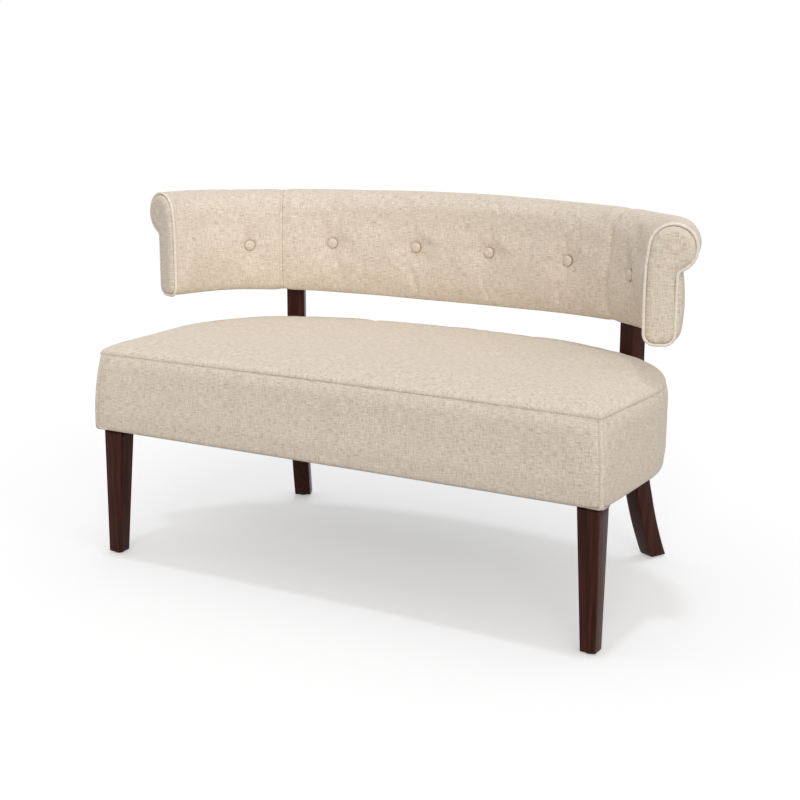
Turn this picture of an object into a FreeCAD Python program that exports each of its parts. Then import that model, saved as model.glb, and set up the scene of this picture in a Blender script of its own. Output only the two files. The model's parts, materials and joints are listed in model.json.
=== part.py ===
# Two-seat settee: a low back with a rolled top edge curves round into both arms and stands
# clear of an upholstered seat, on two square tapered front legs and two sabre rear legs whose
# posts run up behind the seat to carry the back.
# Millimetres, +Z up, +X to the right of someone looking at its front, which faces -Y.
# The origin is on the floor, midway across the width and the depth.
import FreeCAD, Part
import math
import os

# Heights: the seat's lower edge above the floor, its side up to the seam, the crown and the
# back's lower edge above that seam, and the back from its lower edge to its top
seat_base = 273.0
seat_side = 157.0
seat_crown = 29.0
back_gap = 90.0
back_rise = 220.0

# Plan of the seat; depths are taken from the front corners of its lower edge. At the front the
# seam is drawn in from the half width, and the lower edge flares out from the seam.
seat_half = 565.0
seat_depth = 587.0
seat_sweep = 347.0
seat_corner = 299.0
seat_angle_1 = 8.0
seat_angle_2 = 30.7
front_draw = 9.0
hem_flare = 11.0
seam_front = 12.0
front_hollow = 11.0
hem_round = 2.0
hem_lift = 8.0

# Plan of the back's inner line, set in from the seat's own plan
back_inset_side = 22.0
back_inset_rear = 77.0
back_spring_lead = 24.0
back_corner = 218.0
back_angle_1 = 12.1
back_angle_2 = 36.8
end_angle = 76.5
panel_seam_x = 387.0

# Section of the back
stem_depth = 56.0
base_round = 20.0
roll_radius = 43.0
roll_set = 47.0
neck_round = 7.0
roll_open_angle = 84.0
back_crown = 9.0
end_crown = 1.0
shoulder_drop = 75.0

# Upholstery
cover = 1.5
ease = 0.3
side_padding = 10.0
crown_run = 130.0
crown_power = 3.2
crown_rings = 7
tuft_x = (-424.0, -212.0, 0.0, 212.0, 424.0)
tuft_depth_y = 295.0
tuft_sink = 7.0
tuft_radius = 38.0
button_x = (88.0, 281.5)
button_rise = 108.0
arm_button_angle = 35.8
arm_button_rise = 101.0
button_radius = 11.3
button_thickness = 7.0
button_sink = 10.0
pull_radius = 36.0
piping_width = 6.0
end_pad = 8.0
end_pad_round = 5.0
thread_radius = 1.0
thread_play = 0.1

# Wooden frame
rail_thickness = 22.0
rail_height = 98.0
rail_joint_angle = 31.0
corner_post = 44.0
rear_block_depth = 30.0
rear_block_angle = 7.0
brace_width = 45.0
brace_height = 60.0
shell_thickness = 14.0
top_rail_depth = 32.0
top_rail_height = 40.0
former_thickness = 12.0
dowel_radius = 4.0
dowel_length = 50.0
dowel_inset = 24.0
screw_radius = 2.0
screw_head_radius = 4.0
screw_head = 2.5
screw_length = 45.0
dust_cloth = 1.0

# Seat support
strap_width = 60.0
strap_thickness = 1.5
long_strap_x = (-420.0, -315.0, -210.0, -105.0, 0.0, 105.0, 210.0, 315.0, 420.0)
cross_strap_start = 150.0
cross_strap_pitch = 120.0
cross_strap_margin = 160.0
strap_set_back = 5.0
deck_cloth = 1.0
deck_set_in = 2.0

# Legs
front_leg_top = 42.0
front_leg_foot = 29.0
front_leg_side = 11.6
front_leg_set_back = 16.0
post_angle = 26.0
post_stand = 11.0
post_width = 37.5
post_thickness = 33.0
post_below_neck = 11.6
knee_thickness = 36.5
foot_thickness = 34.0
foot_width = 31.0
kick_rise = 120.0
kick_break = 136.0
upper_kick_radius = 1030.0
lower_kick_radius = 660.0
leg_edge = 1.5

# Fasteners and feet
bolt_radius = 4.0
bolt_head_radius = 8.0
bolt_head = 4.0
bolt_bite = 22.0
bolt_play = 0.2
rear_bolt_rise = (26.0, 71.0)
back_bolt_rise = 44.0
back_bolt_drop = 24.0
spacer_radius = 9.0
leg_bolt_rise = 60.0
leg_bolt_drop = 45.0
glide_radius = 10.0
glide_height = 3.5
nail_radius = 1.2
nail_length = 18.0
nail_head_radius = 3.2
nail_head = 1.0
nail_sink = 0.6

# How far a cutting shape runs past what it cuts
overrun = 20.0

seam_height = seat_base + seat_side
back_base = seam_height + back_gap
back_height = back_base + back_rise
button_height = back_base + button_rise
arm_button_height = back_base + arm_button_rise
seat_spring = seat_depth - seat_sweep
seam_front_half = seat_half - front_draw
hem_half = seam_front_half + hem_flare
kick_start = seat_base + kick_rise
frame_base = seat_base + dust_cloth
rail_top = frame_base + rail_height
strap_top = rail_top + strap_thickness
cross_base = strap_top + ease
deck_base = cross_base + strap_thickness + ease
foam_base = deck_base + deck_cloth + ease
pad_inset = cover + side_padding
rail_inset = pad_inset + ease
roll_height = back_height - roll_radius
neck_gap = roll_radius + neck_round
neck_reach = stem_depth + neck_round - roll_set
neck_drop = math.sqrt(neck_gap ** 2 - neck_reach ** 2)
neck_height = roll_height - neck_drop
post_top = neck_height - post_below_neck
rear_bolt_z = [frame_base + rise for rise in rear_bolt_rise]
back_bolt_z = [back_base + back_bolt_rise, post_top - back_bolt_drop]


def at(x, y, z=0.0):
    return FreeCAD.Vector(x, y, z)


def line(a, b):
    return Part.LineSegment(a, b).toShape()


def arc(a, b, c):
    return Part.Arc(a, b, c).toShape()


def box(x0, x1, y0, y1, z0, z1):
    return Part.makeBox(x1 - x0, y1 - y0, z1 - z0, at(x0, y0, z0))


def rod(radius, start, direction, length):
    return Part.makeCylinder(radius, length, start, direction)


def mirrored(shape):
    return shape.mirror(at(0, 0), at(1, 0))


def both(shape):
    return [mirrored(shape), shape]


def bend(half, depth, spring, corner, turn_1, turn_2):
    """Plan line of five tangent arcs, symmetric about the middle: (cx, cy, radius, from, to).

    Headings are degrees from straight back, positive to the right. The corner arcs end at
    90 degrees, at the half width and the spring depth; the two larger radii follow from that.
    """
    t1 = math.radians(turn_1)
    t2 = math.radians(turn_2)
    across = half - corner * (1 - math.sin(t2))
    back = depth - spring - corner * math.cos(t2)
    a = math.sin(t1)
    b = math.sin(t2) - math.sin(t1)
    c = 1 - math.cos(t1)
    d = math.cos(t1) - math.cos(t2)
    r1 = (across * d - b * back) / (a * d - b * c)
    r2 = (a * back - across * c) / (a * d - b * c)
    y1 = depth - r1
    x2 = (r1 - r2) * math.sin(t1)
    y2 = y1 + (r1 - r2) * math.cos(t1)
    x3 = half - corner
    return [(-x3, spring, corner, -90.0, -turn_2), (-x2, y2, r2, -turn_2, -turn_1),
            (0.0, y1, r1, -turn_1, turn_1), (x2, y2, r2, turn_1, turn_2),
            (x3, spring, corner, turn_2, 90.0)]


def arc_at(plan, heading):
    for piece in plan:
        if heading <= piece[4]:
            return piece
    return plan[-1]


def spot(plan, heading, out, z=0.0):
    """Point at a heading of a plan line, moved outward square to it."""
    cx, cy, radius = arc_at(plan, heading)[:3]
    turn = math.radians(heading)
    return at(cx + (radius + out) * math.sin(turn), cy + (radius + out) * math.cos(turn), z)


def heading_at(plan, x):
    """Heading where a plan line passes a distance x from the middle."""
    for cx, cy, radius, start, stop in plan:
        end = cx + radius * math.sin(math.radians(stop))
        if x <= end:
            return math.degrees(math.asin((x - cx) / radius))
    return 90.0


def depth_at(plan, x, out):
    """Depth of a line parallel to a plan line, at a distance x from the middle."""
    for cx, cy, radius, start, stop in plan:
        end = cx + (radius + out) * math.sin(math.radians(stop))
        if x <= end:
            return cy + math.sqrt((radius + out) ** 2 - (x - cx) ** 2)
    return plan[-1][1]


def width_at(plan, y, out):
    """Half width of a line parallel to a plan line, at a depth on or behind its spring."""
    for cx, cy, radius, start, stop in reversed(plan):
        side = cy + (radius + out) * math.cos(math.radians(start))
        if y <= side:
            return cx + math.sqrt((radius + out) ** 2 - max(y - cy, 0) ** 2)
    return 0.0


def placed(shape, plan, heading):
    """Stand a shape drawn with X outward and Z up on a plan line at a heading."""
    cx, cy, radius = arc_at(plan, heading)[:3]
    moved = shape.copy()
    moved.translate(at(radius, 0))
    moved.rotate(at(0, 0), at(0, 0, 1), 90 - heading)
    moved.translate(at(cx, cy))
    return moved


def around(face, plan, start, stop):
    """Carry a section, drawn with X outward and Z up, along a plan line between two headings."""
    runs = []
    for cx, cy, radius, first, last in plan:
        low = max(start, first)
        high = min(stop, last)
        if high - low < 0.01:
            continue
        section = face.copy()
        section.translate(at(radius, 0))
        section.rotate(at(0, 0), at(0, 0, 1), 90 - high)
        run = section.revolve(at(0, 0), at(0, 0, 1), high - low)
        run.translate(at(cx, cy))
        runs.append(run)
    if len(runs) == 1:
        return runs[0]
    return runs[0].multiFuse(runs[1:])


def ahead(face, plan, heading, start, length):
    """Extrude a section straight on from the end of a plan line, square to the end."""
    turn = math.radians(heading)
    step = at(math.cos(turn), -math.sin(turn))
    section = placed(face, plan, heading)
    section.translate(step * start)
    return section.extrude(step * length)


def slab(s0, s1, z0, z1):
    """Rectangle in the section plane, X outward and Z up."""
    corners = [at(s0, 0, z0), at(s1, 0, z0), at(s1, 0, z1), at(s0, 0, z1)]
    return Part.Face(Part.makePolygon(corners + corners[:1]))


def solids_by_x(shape):
    return sorted(shape.Solids, key=lambda solid: solid.CenterOfMass.x)


seat_plan = bend(seat_half, seat_depth, seat_spring, seat_corner, seat_angle_1, seat_angle_2)
back_plan = bend(seat_half - back_inset_side, seat_depth - back_inset_rear,
                 seat_spring - back_spring_lead, back_corner, back_angle_1, back_angle_2)
back_out = stem_depth + post_stand
post_foot = spot(back_plan, post_angle, back_out)


def kick(z):
    """How far the front of a rear leg stands behind its post at a height: two sweeps."""
    if z >= kick_start:
        return 0.0
    upper = (kick_start - max(z, kick_break)) ** 2 / (2 * upper_kick_radius)
    if z >= kick_break:
        return upper
    slope = (kick_start - kick_break) / upper_kick_radius
    drop = kick_break - z
    return upper + slope * drop + drop ** 2 / (2 * lower_kick_radius)


rear_reach = kick(glide_height) + foot_thickness
turn = math.radians(post_angle)
rear_edge = post_foot.y + rear_reach * math.cos(turn) + foot_width / 2 * math.sin(turn)
middle = rear_edge / 2

os.makedirs("parts", exist_ok=True)
saved = []


def save(name, shape):
    """Write one sub-part, moved so that the origin is at the middle of the depth."""
    pieces = shape if isinstance(shape, list) else shape.Solids
    body = Part.makeCompound(pieces) if len(pieces) > 1 else pieces[0].copy()
    body.translate(at(0, -middle))
    body.exportStep("parts/" + name + ".step")
    saved.append(name)
    volume = sum(solid.Volume for solid in body.Solids) / 1000
    print(f"{name:26s} {len(body.Solids):3d} solids {volume:10.2f} cm3 valid {body.isValid()}")


# Seat outline and body

def seat_wire(inset, half, front, z):
    """Closed plan line of the seat: hollow front, straight sides, five arcs round the rear."""
    left = at(-(half - inset), front + inset, z)
    right = at(half - inset, front + inset, z)
    edges = [arc(left, at(0, front + front_hollow + inset, z), right)]
    edges.append(line(right, spot(seat_plan, 90, -inset, z)))
    for cx, cy, radius, start, stop in reversed(seat_plan):
        ends = [math.radians(h) for h in (stop, (start + stop) / 2, start)]
        r = radius - inset
        edges.append(arc(*[at(cx + r * math.sin(h), cy + r * math.cos(h), z) for h in ends]))
    edges.append(line(spot(seat_plan, -90, -inset, z), left))
    return Part.Wire(edges)


def seat_body(inset):
    """Side form of the seat: the lower edge is rounded in, and the front leans to the seam."""
    wires = [seat_wire(inset + hem_round, hem_half, 0, seat_base),
             seat_wire(inset, hem_half, 0, seat_base + hem_lift),
             seat_wire(inset, seam_front_half, seam_front, seam_height)]
    return Part.makeLoft(wires, True, True)


def seat_prism(inset, z0, z1):
    face = Part.Face(seat_wire(inset, seam_front_half, seam_front, z0))
    return face.extrude(at(0, 0, z1 - z0))


def crown_form(inset):
    """Cushioned top: insets follow a superellipse from the seam to the flat of the crown."""
    wires = []
    for ring in range(crown_rings):
        turn = math.pi / 2 * ring / (crown_rings - 1)
        run = crown_run * (1 - math.cos(turn) ** (2 / crown_power))
        height = seam_height + (seat_crown - inset) * math.sin(turn) ** (2 / crown_power)
        wires.append(seat_wire(inset + run, seam_front_half, seam_front, height))
    return Part.makeLoft(wires, True, True)


def tuft_tools(extra):
    """Balls that press the blind tufts into the top of the seat."""
    ball = (tuft_radius ** 2 + tuft_sink ** 2) / (2 * tuft_sink)
    centre = seam_height + seat_crown - tuft_sink + ball
    return [Part.makeSphere(ball + extra, at(x, tuft_depth_y, centre)) for x in tuft_x]


# Rear legs

def stood(shape):
    """Move a shape drawn with X outward and Z up to the right-hand rear post."""
    moved = shape.copy()
    moved.rotate(at(0, 0), at(0, 0, 1), 90 - post_angle)
    moved.translate(post_foot)
    return moved


def rear_leg():
    """Sabre leg and post in one: side profile cut to the width of its taper."""
    knee = kick_break
    thigh = (kick_start + kick_break) / 2
    shin = (kick_break + glide_height) / 2
    thick = {kick_start: post_thickness, knee: knee_thickness, glide_height: foot_thickness}
    thick[thigh] = (post_thickness + knee_thickness) / 2
    thick[shin] = (knee_thickness + foot_thickness) / 2
    front = {z: at(kick(z), 0, z) for z in thick}
    rear = {z: at(kick(z) + thick[z], 0, z) for z in thick}
    edges = [line(at(post_thickness, 0, post_top), at(0, 0, post_top)),
             line(at(0, 0, post_top), front[kick_start]),
             arc(front[kick_start], front[thigh], front[knee]),
             arc(front[knee], front[shin], front[glide_height]),
             line(front[glide_height], rear[glide_height]),
             arc(rear[glide_height], rear[shin], rear[knee]),
             arc(rear[knee], rear[thigh], rear[kick_start]),
             line(rear[kick_start], at(post_thickness, 0, post_top))]
    side = Part.Face(Part.Wire(edges))
    side.translate(at(0, -post_width / 2))
    side = side.extrude(at(0, post_width))
    top = post_width / 2
    foot = foot_width / 2
    widths = [(-foot, 0), (foot, 0), (top, seat_base), (top, post_top), (-top, post_top),
              (-top, seat_base)]
    outline = [at(-overrun, y, z) for y, z in widths]
    taper = Part.Face(Part.makePolygon(outline + outline[:1]))
    return side.common(taper.extrude(at(rear_reach + overrun * 2, 0, 0)))


def post_gap(start):
    """Room for the post through the upholstery, from a distance in front of its face."""
    half = post_width / 2 + ease
    return stood(box(start, post_thickness + overrun, -half, half,
                     seat_base - overrun, seam_height + seat_crown + overrun))


leg_plain = rear_leg()
post_gaps = both(post_gap(-ease))
rail_gaps = both(post_gap(-pad_inset - overrun))

rear_bolts = []
rear_bolt_holes = []
for z in rear_bolt_z:
    start = -(rail_inset + rail_thickness + rear_block_depth + bolt_head)
    length = kick(z) + bolt_bite - start
    shank = rod(bolt_radius, at(start, 0, z), at(1, 0), length)
    head = rod(bolt_head_radius, at(start - bolt_head, 0, z), at(1, 0), bolt_head)
    rear_bolts.append(stood(shank.fuse(head)))
    rear_bolt_holes.append(stood(rod(bolt_radius + bolt_play, at(start, 0, z), at(1, 0),
                                     length + bolt_play)))

shell_out = stem_depth - cover - ease
shell_in = shell_out - shell_thickness
back_bolts = []
back_bolt_holes = []
back_bolt_pockets = []
spacers = []
for z in back_bolt_z:
    start = shell_in - back_out
    length = bolt_bite - start
    shank = rod(bolt_radius, at(start, 0, z), at(1, 0), length)
    head = rod(bolt_head_radius, at(start - bolt_head, 0, z), at(1, 0), bolt_head)
    back_bolts.append(stood(shank.fuse(head)))
    hole = rod(bolt_radius + bolt_play, at(start, 0, z), at(1, 0), length + bolt_play)
    back_bolt_holes.append(stood(hole))
    pocket = rod(bolt_head_radius + ease, at(start - bolt_head - ease, 0, z), at(1, 0),
                 bolt_head + ease * 2)
    back_bolt_pockets.append(stood(pocket))
    sleeve = rod(spacer_radius, at(ease - post_stand, 0, z), at(1, 0), post_stand - ease)
    bore = rod(bolt_radius + bolt_play, at(-overrun, 0, z), at(1, 0), overrun * 2)
    spacers.append(stood(sleeve.cut(bore)))

leg = stood(leg_plain).cut(rear_bolt_holes).cut(back_bolt_holes)

# Seat frame

post_x1 = seam_front_half - rail_inset
post_x0 = post_x1 - corner_post
post_y0 = seam_front + rail_inset
post_y1 = post_y0 + corner_post
corner_box = box(post_x0, post_x1 + overrun, post_y0 - overrun, post_y1, frame_base, rail_top)
inside_rails = seat_prism(rail_inset, frame_base, rail_top)
corner = inside_rails.common(corner_box)
ring = inside_rails.cut(seat_prism(rail_inset + rail_thickness, frame_base, rail_top))
ring = ring.cut(both(corner_box))
rear_section = slab(-rail_inset - rail_thickness, -rail_inset, frame_base, rail_top)
back_rail = around(rear_section, seat_plan, -rail_joint_angle, rail_joint_angle)
sweep_out = slab(-rail_inset - rail_thickness - overrun, overrun,
                 frame_base - overrun, rail_top + overrun)
ring = ring.cut(around(sweep_out, seat_plan, -rail_joint_angle, rail_joint_angle))
ring_parts = solids_by_x(ring)
side_rail = ring_parts[-1]
front_rail = min(ring_parts, key=lambda piece: abs(piece.CenterOfMass.x))

block_out = -rail_inset - rail_thickness
block_section = slab(block_out - rear_block_depth, block_out, frame_base, rail_top)
rear_block = around(block_section, seat_plan, rail_joint_angle - rear_block_angle,
                    rail_joint_angle + rear_block_angle)

front_rail_rear = seam_front + front_hollow + rail_inset + rail_thickness
brace = box(-brace_width / 2, brace_width / 2, front_rail_rear - overrun, seat_depth,
            frame_base, frame_base + brace_height)
brace = brace.common(seat_prism(rail_inset + rail_thickness, frame_base, rail_top))

dowels = []
for z in (frame_base + dowel_inset, rail_top - dowel_inset):
    y = post_y0 + rail_thickness / 2
    dowels.append(rod(dowel_radius, at(post_x0 - dowel_length / 2, y, z), at(1, 0), dowel_length))
    x = post_x1 - rail_thickness / 2
    dowels.append(rod(dowel_radius, at(x, post_y1 - dowel_length / 2, z), at(0, 1), dowel_length))
dowels = dowels + [mirrored(dowel) for dowel in dowels]

packing = stood(box(-rail_inset - overrun, overrun, -post_width / 2, post_width / 2,
                    seat_base + hem_lift, rail_top))
packing = packing.cut(inside_rails).cut(stood(leg_plain)).cut(rear_bolt_holes)

bolt_x = seam_front_half - rail_inset - corner_post / 2
bolt_y = seam_front + rail_inset + corner_post / 2
leg_bolt = rod(bolt_radius, at(bolt_x, bolt_y, seat_base - leg_bolt_drop), at(0, 0, 1),
               leg_bolt_drop + leg_bolt_rise)
leg_bolt_hole = rod(bolt_radius + bolt_play,
                    at(bolt_x, bolt_y, seat_base - leg_bolt_drop - bolt_play), at(0, 0, 1),
                    leg_bolt_drop + leg_bolt_rise + bolt_play * 2)

save("front_rail", front_rail.cut(dowels))
save("back_rail", back_rail.cut(rear_bolt_holes + [mirrored(h) for h in rear_bolt_holes]))
save("side_rail_left", mirrored(side_rail.cut(dowels)))
save("side_rail_right", side_rail.cut(dowels))
save("corner_post_left", mirrored(corner.cut(dowels + [leg_bolt_hole])))
save("corner_post_right", corner.cut(dowels + [leg_bolt_hole]))
save("rear_blocks", both(rear_block.cut(rear_bolt_holes)))
save("centre_brace", brace)
save("frame_dowels", dowels)
save("leg_packings", both(packing))

# Seat support and stuffing

def landing(x):
    """Depths where a strap ends, on the front rail and on the back rail."""
    front = seam_front + rail_inset + front_hollow * (1 - (x / seam_front_half) ** 2)
    edge = abs(x) + strap_width / 2
    return front + strap_set_back, depth_at(seat_plan, edge, -rail_inset) - strap_set_back


long_straps = []
for x in long_strap_x:
    y0, y1 = landing(x)
    long_straps.append(box(x - strap_width / 2, x + strap_width / 2, y0, y1, rail_top, strap_top))
cross_straps = []
cross_room = seat_depth - rail_inset - rail_thickness - cross_strap_margin - cross_strap_start
for row in range(1 + int(cross_room / cross_strap_pitch)):
    y = cross_strap_start + row * cross_strap_pitch
    reach = width_at(seat_plan, y + strap_width / 2, -rail_inset) - strap_set_back
    cross_straps.append(box(-reach, reach, y - strap_width / 2, y + strap_width / 2,
                            cross_base, cross_base + strap_thickness))
deck = seat_prism(rail_inset + deck_set_in, deck_base, deck_base + deck_cloth)
foam = seat_prism(rail_inset, foam_base, seam_height)

tuft_ties = []
tie_holes = []
for x in tuft_x:
    top = seam_height + seat_crown - tuft_sink - cover - ease
    tuft_ties.append(rod(thread_radius, at(x, tuft_depth_y, foam_base), at(0, 0, 1),
                         top - foam_base))
    tie_holes.append(rod(thread_radius + thread_play, at(x, tuft_depth_y, foam_base - overrun),
                         at(0, 0, 1), seat_crown + seam_height - foam_base + overrun * 2))

wadding = crown_form(cover + ease).cut(tuft_tools(cover + ease)).cut(tie_holes).cut(post_gaps)
top_cover = crown_form(0).cut(tuft_tools(0))
top_cover = top_cover.cut(crown_form(cover).cut(tuft_tools(cover))).cut(post_gaps)

save("seat_straps_long", long_straps)
save("seat_straps_cross", cross_straps)
save("deck_cloth", deck)
save("seat_foam", foam.cut(tie_holes))
save("seat_wadding", wadding)
save("tuft_ties", tuft_ties)
save("seat_top_cover", top_cover)

border = seat_body(0).cut(seat_body(cover))
padding = seat_body(cover + ease)
padding = padding.cut(seat_prism(pad_inset, seat_base - overrun, seam_height + overrun))
padding = padding.cut(box(-hem_half, hem_half, 0, seat_depth, seat_base, frame_base))
lean = at(seam_front_half - hem_half, seam_front)
zone_right = [at(hem_half, 0, 0) - lean * 2, at(hem_half, 0, 0) + lean * 4]
zone_left = [at(-p.x, p.y, 0) for p in zone_right]
zone = [zone_left[0], zone_right[0], zone_right[1], zone_left[1], zone_left[0]]
front_zone = Part.Face(Part.makePolygon(zone)).extrude(at(0, 0, seam_height + overrun))
for name, skin in (("border", border), ("padding", padding)):
    save("seat_front_" + name, skin.common(front_zone))
    rest = solids_by_x(skin.cut(front_zone).cut(rail_gaps))
    save("seat_left_" + name, rest[0])
    save("seat_rear_" + name, rest[1])
    save("seat_right_" + name, rest[2])
dust = Part.Face(seat_wire(hem_round + cover + ease, hem_half, 0, seat_base))
dust = dust.extrude(at(0, 0, dust_cloth))
save("dust_cover", dust.cut([leg_bolt_hole, mirrored(leg_bolt_hole)]))

# Back

def back_section(crown):
    """Outline of the back: round lower edge, crowned inner face, roll, neck, flat outside."""
    low = back_base + base_round
    high = back_height - shoulder_drop
    cut = base_round * (1 - math.sqrt(0.5))
    neck_turn = math.acos(neck_reach / neck_gap)
    bend_turn = math.pi - neck_turn / 2

    def on_roll(degrees):
        turn = math.radians(degrees)
        return at(roll_set + roll_radius * math.cos(turn), 0,
                  roll_height + roll_radius * math.sin(turn))

    bottom_in = at(base_round, 0, back_base)
    bottom_out = at(stem_depth - base_round, 0, back_base)
    neck = at(stem_depth, 0, neck_height)
    neck_mid = at(stem_depth + neck_round * (1 + math.cos(bend_turn)), 0,
                  neck_height + neck_round * math.sin(bend_turn))
    under = -math.degrees(neck_turn)
    edges = [line(bottom_in, bottom_out),
             arc(bottom_out, at(stem_depth - cut, 0, back_base + cut), at(stem_depth, 0, low)),
             line(at(stem_depth, 0, low), neck),
             arc(neck, neck_mid, on_roll(under)),
             arc(on_roll(under), on_roll(under / 2 + 45), on_roll(90)),
             arc(on_roll(90), on_roll(90 + roll_open_angle / 2), on_roll(90 + roll_open_angle)),
             line(on_roll(90 + roll_open_angle), at(0, 0, high)),
             arc(at(0, 0, high), at(-crown, 0, (low + high) / 2), at(0, 0, low)),
             arc(at(0, 0, low), at(cut, 0, back_base + cut), bottom_in)]
    return Part.Wire(edges)


def face_depth(z):
    """How far the crowned inner face stands from the plan line at a height."""
    half = (back_height - shoulder_drop - back_base - base_round) / 2
    radius = (half ** 2 + back_crown ** 2) / (2 * back_crown)
    middle_z = back_base + base_round + half
    return radius - back_crown - math.sqrt(radius ** 2 - (z - middle_z) ** 2)


def pull_tools(buttons, extra):
    """Balls that sink the buttons into the inner face."""
    ball = (pull_radius ** 2 + button_sink ** 2) / (2 * button_sink)
    tools = []
    for heading, z in buttons:
        centre = at(face_depth(z) + button_sink - ball, 0, z)
        tools.append(placed(Part.makeSphere(ball + extra, centre), back_plan, heading))
    return tools


section = Part.Face(back_section(back_crown))
end_section = Part.Face(back_section(end_crown))
lining = section.makeOffset2D(-cover)
core = section.makeOffset2D(-cover - ease)
end_lining = end_section.makeOffset2D(-cover)
end_core = end_section.makeOffset2D(-cover - ease)
seam_turn = heading_at(back_plan, panel_seam_x)
centre_buttons = [(heading_at(back_plan, x), button_height) for x in button_x]
centre_buttons += [(-heading, z) for heading, z in centre_buttons]
arm_buttons = [(arm_button_angle, arm_button_height)]
all_buttons = centre_buttons + arm_buttons + [(-arm_button_angle, arm_button_height)]

outer_region = slab(stem_depth - base_round, stem_depth + roll_radius, back_base - overrun,
                    neck_height)
wide_region = slab(-roll_radius, stem_depth + roll_radius * 2, neck_height,
                   back_height + overrun)
top_rail_base = roll_height - top_rail_height / 2
shell_face = slab(shell_in, shell_out, back_base, top_rail_base).common(core)
top_rail_face = slab(shell_in, shell_in + top_rail_depth, top_rail_base,
                     top_rail_base + top_rail_height)
wood_room = slab(shell_in - ease, shell_out + ease, back_base, top_rail_base)
rail_room = slab(shell_in - ease, shell_in + top_rail_depth + ease, top_rail_base - ease,
                 top_rail_base + top_rail_height + ease)
foam_face = core.common(slab(-roll_radius, shell_in - ease, back_base, neck_height - ease))
roll_face = core.common(wide_region).cut([wood_room, rail_room])
outside_face = section.cut(lining).common(outer_region)


def inside_cover(start, stop, buttons):
    """Cover of one inner panel, over the roll to the neck, with its buttons pulled in."""
    form = around(section, back_plan, start, stop).cut(pull_tools(buttons, 0))
    stuffing = around(lining, back_plan, start, stop).cut(pull_tools(buttons, cover))
    return form.cut(stuffing).cut(around(outer_region, back_plan, start, stop))


def cover_tail():
    """Cover over the edge of an end former, where the crown runs out to the piping."""
    turn = math.radians(end_angle)
    rear = placed(back_section(back_crown), back_plan, end_angle)
    front = placed(back_section(end_crown), back_plan, end_angle)
    front.translate(at(math.cos(turn), -math.sin(turn)) * former_thickness)
    form = Part.makeLoft([rear, front], True, True)
    form = form.cut(ahead(end_lining, back_plan, end_angle, 0, former_thickness))
    return form.cut(ahead(outer_region, back_plan, end_angle, 0, former_thickness))


def button(heading, z):
    """Covered button: flat behind, with a domed front."""
    seat = face_depth(z) + button_sink - button_radius ** 2 / pull_radius - ease
    dome = button_thickness / 2
    ball = (button_radius ** 2 + dome ** 2) / (2 * dome)
    disc = rod(button_radius, at(seat - button_thickness, 0, z), at(1, 0), button_thickness)
    disc = disc.common(Part.makeSphere(ball, at(seat - button_thickness + ball, 0, z)))
    return placed(disc, back_plan, heading)


def button_tie(heading, z, radius):
    seat = face_depth(z) + button_sink - button_radius ** 2 / pull_radius - ease
    return placed(rod(radius, at(seat, 0, z), at(1, 0), shell_out - seat), back_plan, heading)


tie_rooms = [button_tie(heading, z, thread_radius + thread_play) for heading, z in all_buttons]
bolt_rooms = back_bolt_holes + back_bolt_pockets
bolt_rooms = bolt_rooms + [mirrored(room) for room in bolt_rooms]
shell_bolt_holes = back_bolt_holes + [mirrored(hole) for hole in back_bolt_holes]
all_back_bolts = back_bolts + [mirrored(bolt) for bolt in back_bolts]

turn = math.radians(end_angle)
step = at(math.cos(turn), -math.sin(turn))
screw_spots = [(shell_in + top_rail_depth / 2, roll_height),
               (shell_in + shell_thickness / 2, back_base + base_round * 2),
               (shell_in + shell_thickness / 2, neck_height - base_round)]
screws = []
screw_holes = []
for s, z in screw_spots:
    start = spot(back_plan, end_angle, s, z) + step * former_thickness
    shank = rod(screw_radius, start, step * -1, screw_length)
    screws.append(shank.fuse(rod(screw_head_radius, start, step * -1, screw_head)))
    hole = rod(screw_radius + thread_play, start, step * -1, screw_length + thread_play)
    screw_holes.append(hole.fuse(rod(screw_head_radius + thread_play, start, step * -1,
                                     screw_head + thread_play)))
all_screw_holes = screw_holes + [mirrored(hole) for hole in screw_holes]

shell = around(shell_face, back_plan, -end_angle, end_angle)
top_rail = around(top_rail_face, back_plan, -end_angle, end_angle)
roll_centre = around(roll_face, back_plan, -seam_turn, seam_turn)
roll_side = around(roll_face, back_plan, seam_turn, end_angle)
foam_pull = cover + ease
foam_centre = around(foam_face, back_plan, -seam_turn, seam_turn)
foam_side = around(foam_face, back_plan, seam_turn, end_angle)
save("back_shell", shell.cut(tie_rooms + shell_bolt_holes + all_back_bolts + all_screw_holes))
save("back_top_rail", top_rail.cut(all_screw_holes))
save("roll_stuffing_centre", roll_centre.cut(pull_tools(centre_buttons, foam_pull)))
arm_roll = roll_side.cut(pull_tools(arm_buttons, foam_pull))
save("roll_stuffing_left", mirrored(arm_roll))
save("roll_stuffing_right", arm_roll)
save("back_foam_centre", foam_centre.cut(pull_tools(centre_buttons, foam_pull)
                                         + tie_rooms + bolt_rooms))
arm_foam = foam_side.cut(pull_tools(arm_buttons, foam_pull) + tie_rooms + bolt_rooms)
save("back_foam_left", mirrored(arm_foam))
save("back_foam_right", arm_foam)
centre_cover = inside_cover(-seam_turn, seam_turn, centre_buttons)
save("inside_back_centre", centre_cover.cut(tie_rooms))
arm_cover = inside_cover(seam_turn, end_angle, arm_buttons).fuse(cover_tail()).cut(tie_rooms)
save("inside_back_left", mirrored(arm_cover))
save("inside_back_right", arm_cover)
outside = around(outside_face, back_plan, -end_angle, end_angle)
tail = ahead(outside_face, back_plan, end_angle, 0, former_thickness)
outside = outside.multiFuse([tail, mirrored(tail)])
save("outside_back", outside.cut(shell_bolt_holes))
save("back_buttons", [button(heading, z) for heading, z in all_buttons])
save("button_ties", [button_tie(heading, z, thread_radius) for heading, z in all_buttons])

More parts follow.
